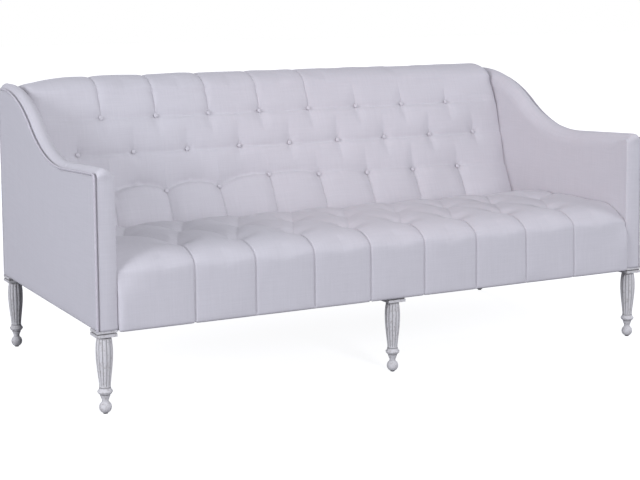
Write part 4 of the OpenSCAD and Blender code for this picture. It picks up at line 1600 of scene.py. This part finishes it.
@dataclass
class DustCloth:
    """The cloth tacked under the frame, cut round the legs' blocks, and its staples."""

    cell: float = 30 * MM
    spare: float = 1.5 * MM
    sag: float = 1.6 * MM
    thick: float = 0.9 * MM
    drop: float = 0.1 * MM
    inset: float = 9 * MM
    spacing: float = 62 * MM
    blocks: tuple[tuple[Vector, Vector], ...] = tuple(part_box(f"leg_{name}") for name in LEGS)

    def notched(self, x: float, y: float, spare: float) -> bool:
        """Whether a place lies where a leg's block is."""
        return any(low.x - spare < x < high.x + spare and low.y - spare < y < high.y + spare
                   for low, high in self.blocks)

    def build(self, wardrobe: Wardrobe) -> None:
        """Makes the cloth and the staples.

        Args:
            wardrobe: The finishes.
        """
        low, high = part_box("dust_cover")
        size = high - low
        middle = (*((low + high) / 2).xy, high.z - self.drop)
        mesh = bpy.data.meshes.new("dust_cloth")
        with editing(mesh) as bm:
            bm.loops.layers.uv.new("weave")
            bmesh.ops.create_grid(bm, x_segments=1, y_segments=1, size=0.5)
            bmesh.ops.scale(bm, vec=(size.x, size.y, 1), verts=bm.verts)
            bmesh.ops.translate(bm, vec=middle, verts=bm.verts)
            for axis in (0, 1):
                edges = {end[axis] + way * self.spare
                         for block in self.blocks for end, way in zip(block, (-1, 1))}
                marks = [*edges, *np.arange(low[axis] + self.cell, high[axis], self.cell)]
                normal = Vector([float(axis == i) for i in range(3)])
                for value in sorted(v for v in marks if low[axis] < v < high[axis]):
                    bmesh.ops.bisect_plane(bm, geom=[*bm.verts, *bm.edges, *bm.faces],
                                           plane_co=normal * float(value), plane_no=normal)
            cut = [f for f in bm.faces if self.notched(*f.calc_center_median().xy, self.spare)]
            bmesh.ops.delete(bm, geom=cut, context="FACES")
            flat_area = sum(f.calc_area() for f in bm.faces)
            for v in bm.verts:
                share = [(v.co[i] - low[i]) / size[i] for i in (0, 1)]
                wave = 0.25 * MM * math.sin(v.co.x * 31) * math.sin(v.co.y * 23)
                rim = min(1.0, 8 * min(share[0], 1 - share[0], share[1], 1 - share[1]))
                belly = self.sag * math.sin(math.pi * share[0]) * math.sin(math.pi * share[1])
                v.co.z -= (belly + wave) * rim
            flat_uv(bm, bm.faces, 0, 1)
            bmesh.ops.recalc_face_normals(bm, faces=bm.faces)
            turn_towards(bm, Vector((0, 0, -1)))
        piece = object_of(mesh)
        thicken(piece, self.thick, 1)
        hand_over(piece, wardrobe.by_slot["dust_cloth"], ["dust_cover"])
        self.staples(wardrobe, low, high)

    def staples(self, wardrobe: Wardrobe, low: Vector, high: Vector) -> None:
        """Makes the staples along the cloth's rim.

        Args:
            wardrobe: The finishes.
            low: The cloth's lowest corner.
            high: The cloth's highest corner.
        """
        z = high.z - self.drop - self.thick - 0.25 * MM
        mesh = bpy.data.meshes.new("staples")
        with editing(mesh) as bm:
            bm.loops.layers.uv.new("weave")
            for axis, other in ((0, 1), (1, 0)):
                count = round((high[axis] - low[axis]) / self.spacing)
                for side in (low[other] + self.inset, high[other] - self.inset):
                    for k in range(1, count):
                        centre = [side, side]
                        centre[axis] = low[axis] + (high[axis] - low[axis]) * k / count
                        if self.notched(*centre, 10 * MM):
                            continue
                        made = bmesh.ops.create_cube(bm, size=1)["verts"]
                        length = [*mm(0.9, 0.9, 0.7)]
                        length[axis] = 10 * MM
                        bmesh.ops.scale(bm, vec=length, verts=made)
                        bmesh.ops.translate(bm, vec=(*centre, z), verts=made)
            bmesh.ops.bevel(bm, geom=list(bm.edges), offset=0.22 * MM, segments=1, profile=0.5, material=-1,
                            affect="EDGES")
            bmesh.ops.recalc_face_normals(bm, faces=bm.faces)
        hand_over(object_of(mesh), wardrobe.by_slot["steel"])


# Legs


@dataclass
class Leg:
    """A turned and reeded leg under a square block.

    Args:
        name: The node's name without its first word.
    """

    name: str
    block_half: float = 30 * MM
    block_low: float = 222 * MM
    block_groove: tuple[float, ...] = mm(230.6, 230.8, 234, 234.2)
    groove_cut: float = 3.6 * MM
    widest: float = 0.72
    reed_z: float = 76 * MM
    reeds: int = 12
    reed_depth: float = 2.4 * MM
    radii: Triple = mm(16, 24.2, 20.6)
    ball: Place = mm(17.9, 18.8)

    def vase(self, t: float) -> float:
        """Radius of the reeded part at a share of its height.

        Args:
            t: The share of its height.

        Returns:
            The radius.
        """
        low, mid, top = self.radii
        if t < self.widest:
            return low + (mid - low) * math.sin(math.pi / 2 * t / self.widest) ** 1.4
        return mid - (mid - top) * ((t - self.widest) / (1 - self.widest)) ** 2.2

    def outline(self) -> list[Place]:
        """Radius and height from the foot up.

        Returns:
            The points, in order.
        """
        r, z = self.ball
        foot = [(0.0, 2.5 * MM), *arc((0, z), (r, r), -65.6, 43.5, 16)]
        turned = [(12.6, 31.6), (10.2, 34), (9.4, 36.5), (9.8, 40), (11.4, 44.5), (13.2, 49), (14.4, 52.2)]
        bead = [(13.2, 53), (13.2, 54.2), (15.4, 55), (18.4, 58), (20.8, 61.4), (21.8, 63.4), (21.6, 64.6),
                (19.8, 67), (18, 69.8), (16.9, 72.4), (16.4, 74.2), (15.4, 74.9), (15.4, 75.6)]
        points = [*foot[:-1], *(mm(*point) for point in (*curve_through(turned, 4), *bead))]
        top = self.block_low
        for t in np.linspace(0, 1, 61):
            height = self.reed_z + t * (top - 5.5 * MM - self.reed_z)
            shrink = 2.4 * MM * max(0.0, 1 - (top - height) / (9 * MM)) ** 2
            points.append((self.vase(t) - shrink, height))
        neck = self.radii[2] - 7.5 * MM
        return [*points, (neck, top - 4.5 * MM), (neck, top + 0.5 * MM), (0.0, top + 0.5 * MM)]

    def build(self, wardrobe: Wardrobe) -> None:
        """Makes the leg.

        Args:
            wardrobe: The finishes.
        """
        node = f"leg_{self.name}"
        low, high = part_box(node)
        mesh = bpy.data.meshes.new(f"turned_leg_{self.name}")
        with editing(mesh) as bm:
            # Per-vertex amount of glaze and painted shade, read by the paint
            hollow = bm.verts.layers.float.new("hollow")
            for v in spin_profile(bm, self.outline(), self.reeds * 14):
                self.cut_reed(v, hollow)
            self.add_block(bm, hollow)
            bmesh.ops.translate(bm, vec=(*((low + high) / 2).xy, 0), verts=bm.verts)
            bmesh.ops.recalc_face_normals(bm, faces=bm.faces)
        piece = object_of(mesh)
        mesh.polygons.foreach_set("use_smooth", [p.center.z < self.block_low for p in mesh.polygons])
        hand_over(piece, wardrobe.paint, [node])

    def cut_reed(self, v: BMVert, hollow: bmesh.types.BMLayerItem) -> None:
        """Moves a vertex in to the reeds' surface, and notes how much glaze and painted shade it gets.

        Args:
            v: The vertex.
            hollow: The layer that holds how much glaze and painted shade a vertex gets.
        """
        z, r = v.co.z, math.hypot(v.co.x, v.co.y)
        if r < 1 * MM:
            return
        rise = min(1.0, max(0.0, (z - self.reed_z) / (7 * MM)))
        fade = min(1.0, max(0.0, (self.block_low - 5 * MM - z) / (5 * MM)))
        share = math.sin(math.pi / 2 * rise) * math.sin(math.pi / 2 * fade)
        groove = 1 - abs(math.sin(self.reeds / 2 * math.atan2(v.co.y, v.co.x))) ** 0.62
        v.co.xy *= (r - self.reed_depth * groove * share) / r
        turned = 0.0
        if z < self.reed_z:
            # Glaze and painted shade at the turned necks and grooves, and painted contact shade at the
            # foot's bottom
            necks = ((0.9, 53.5, 1.6), (0.8, 74.8, 2), (0.35, 36, 5), (0.8, 2, 2.5))
            turned = sum(dark * hump(z, *mm(middle, reach)) for dark, middle, reach in necks)
        # Painted shadow ring just under the block
        top = 1.2 * hump(z, self.block_low, 4.5 * MM)
        # Glaze and painted shade in the reeds' grooves, at the turned necks and under the block
        v[hollow] = min(1.0, groove**1.6 * share * 1.15 + turned + top)

    def add_block(self, bm: BMesh, hollow: bmesh.types.BMLayerItem) -> None:
        """Adds the square block with its groove.

        Args:
            bm: The leg's mesh, with the turned part in it.
            hollow: The layer that holds how much glaze and painted shade a vertex gets.
        """
        half, cut = self.block_half, self.block_half - self.groove_cut
        heights = (self.block_low, *self.block_groove, LEG_H - 0.1 * MM)
        levels = list(zip(heights, (half, half, cut, cut, half, half)))
        start = Matrix.Translation((0, 0, self.block_low)) @ Matrix.Rotation(math.pi / 4, 4, "Z")
        before = set(bm.verts)
        verts = bmesh.ops.create_circle(bm, cap_ends=True, segments=4, radius=half * math.sqrt(2),
                                        matrix=start)["verts"]
        face = verts[0].link_faces[0]
        for (z0, r0), (z1, r1) in zip(levels, levels[1:]):
            out = bmesh.ops.extrude_face_region(bm, geom=[face])["geom"]
            face = next(g for g in out if isinstance(g, BMFace))
            for v in (g for g in out if isinstance(g, BMVert)):
                v.co.xy *= r1 / r0
                v.co.z = z1
                # The groove gets full glaze and painted shade
                v[hollow] = float(r1 == cut)
        block = set(bm.verts) - before
        edges = {e for v in block for e in v.link_edges}
        outer = [e for e in edges if all(abs(abs(v.co.x) - half) < 0.01 * MM for v in e.verts)]
        bmesh.ops.bevel(bm, geom=outer, offset=0.9 * MM, segments=3, profile=0.5, material=-1,
                        affect="EDGES")
        middles = {f: f.calc_center_median() for f in bm.faces}
        walled_in = [f for f, at in middles.items()
                     if at.xy.length < 10 * MM and heights[0] + 1 * MM < at.z < heights[-1] - 1 * MM]
        bmesh.ops.delete(bm, geom=walled_in, context="FACES_ONLY")


# Camera, light and floor


@dataclass(frozen=True)
class Softbox:
    """A square lamp.

    Args:
        name: Its name.
        place: Where it stands.
        aim: What it points at.
        size: Its side.
        power: Its power in watts.
        tint: Its colour.
        spread: The angle that it lights, in degrees.
    """

    name: str
    place: Triple
    aim: Triple
    size: float
    power: float
    tint: str
    spread: float = 180

    def build(self) -> None:
        """Adds the lamp to the scene."""
        data = bpy.data.lights.new(self.name, "AREA")
        data.spread = math.radians(self.spread)
        data.shape, data.size = "SQUARE", self.size
        data.energy, data.color = self.power, linear(self.tint)[:3]
        lamp = bpy.data.objects.new(self.name, data)
        lamp.location = self.place
        lamp.visible_camera = False
        lamp.rotation_euler = (Vector(self.aim) - Vector(self.place)).to_track_quat("-Z", "Y").to_euler()
        bpy.context.scene.collection.objects.link(lamp)


@dataclass(frozen=True)
class Studio:
    """The floor, the light and the camera that sees the settee as the photo does."""

    place: Triple = (-2.217, -4.169, 1.157)
    heading: float = math.radians(27.84)
    tilt: float = math.radians(-5.88)
    roll: float = math.radians(-0.41)
    focal: float = 80.09
    shift: float = -0.15
    ambient: float = 0.42
    lamps: tuple[Softbox, ...] = (
        Softbox("key", (-0.3, -9.4, 4.7), (0.1, 0, 0.55), 2.6, 450, "#F3F5FF"),
        Softbox("left", (-7.5, -2.0, 2.6), (-0.9, 0, 0.5), 3.0, 300, "#F1F4FF"),
        Softbox("right", (7.5, -2.4, 2.6), (0.9, 0, 0.5), 3.0, 120, "#F1F4FF"),
        Softbox("rear", (1.5, 9.0, 2.2), (0, 0, 0.5), 4.0, 260, "#F3F5FF"),
        Softbox("warm", (-0.7, -0.5, 1.3), (0.92, 0.0, 0.62), 0.4, 0.3, "#FF9C86", 90),
    )

    def camera(self) -> None:
        """Makes the camera."""
        data = bpy.data.cameras.new("camera")
        data.lens, data.sensor_width, data.shift_y = self.focal, 36, self.shift
        camera = bpy.data.objects.new("camera", data)
        turn = Matrix.Rotation(-self.heading, 4, "Z") @ Matrix.Rotation(math.pi / 2 + self.tilt, 4, "X")
        camera.matrix_world = Matrix.Translation(self.place) @ turn @ Matrix.Rotation(self.roll, 4, "Z")
        bpy.context.scene.collection.objects.link(camera)
        bpy.context.scene.camera = camera

    def world(self) -> None:
        """A white surround that the camera sees, with softer light from it on the settee."""
        world = bpy.data.worlds.new("surround")
        world.use_nodes = True
        bpy.context.scene.world = world
        tree = world.node_tree
        tree.nodes.clear()
        seen = add(tree, "ShaderNodeBackground", {"Color": (1, 1, 1, 1), "Strength": 1.0})
        lit = add(tree, "ShaderNodeBackground", {"Color": linear("#F1F3FF"), "Strength": self.ambient})
        path = add(tree, "ShaderNodeLightPath")
        mix = add(tree, "ShaderNodeMixShader", {},
                  {0: path.outputs["Is Camera Ray"], 1: lit, 2: seen})
        add(tree, "ShaderNodeOutputWorld", {}, {"Surface": mix})

    def floor(self) -> None:
        """A pale floor that fades into the surround."""
        mesh = bpy.data.meshes.new("floor")
        with editing(mesh) as bm:
            bmesh.ops.create_grid(bm, x_segments=8, y_segments=8, size=30)
        floor = object_of(mesh)
        made, tree, shader = start_material("pale_floor", roughness=0.9)
        shader.inputs["Base Color"].default_value = linear("#9A9A9E")
        shader.inputs["Emission Color"].default_value = (1, 1, 1, 1)
        place = add(tree, "ShaderNodeTexCoord").outputs["Object"]
        away = add(tree, "ShaderNodeVectorMath", {"operation": "LENGTH"}, {0: place})
        reach = {"From Min": 1.2, "From Max": 6.0, "To Min": 0.88, "To Max": 1.0}
        far = add(tree, "ShaderNodeMapRange", reach, {"Value": away.outputs["Value"]})
        path = add(tree, "ShaderNodeLightPath")
        glow = add(tree, "ShaderNodeMath", {"operation": "MULTIPLY"},
                   {0: far, 1: path.outputs["Is Camera Ray"]})
        link(tree, shader, {"Emission Strength": glow})
        dress(floor, made)

    def build(self) -> None:
        """Sets up the whole studio."""
        bpy.context.scene.view_settings.view_transform = "Standard"
        self.camera()
        self.world()
        self.floor()
        for lamp in self.lamps:
            lamp.build()


def main() -> None:
    """Builds the settee's pieces in order and dresses what stays of the frame."""
    logging.basicConfig(level=logging.INFO, format="%(name)s %(relativeCreated)d: %(message)s")
    wardrobe = Wardrobe()
    for made in (Seat(), Back(), *map(Arm, Side), OutsideBack(), DustCloth(), *map(Leg, LEGS)):
        made.build(wardrobe)
    LOG.info("%d nodes of the frame dressed", wardrobe.dress_frame())
    Studio().build()


if __name__ == "__main__":
    main()
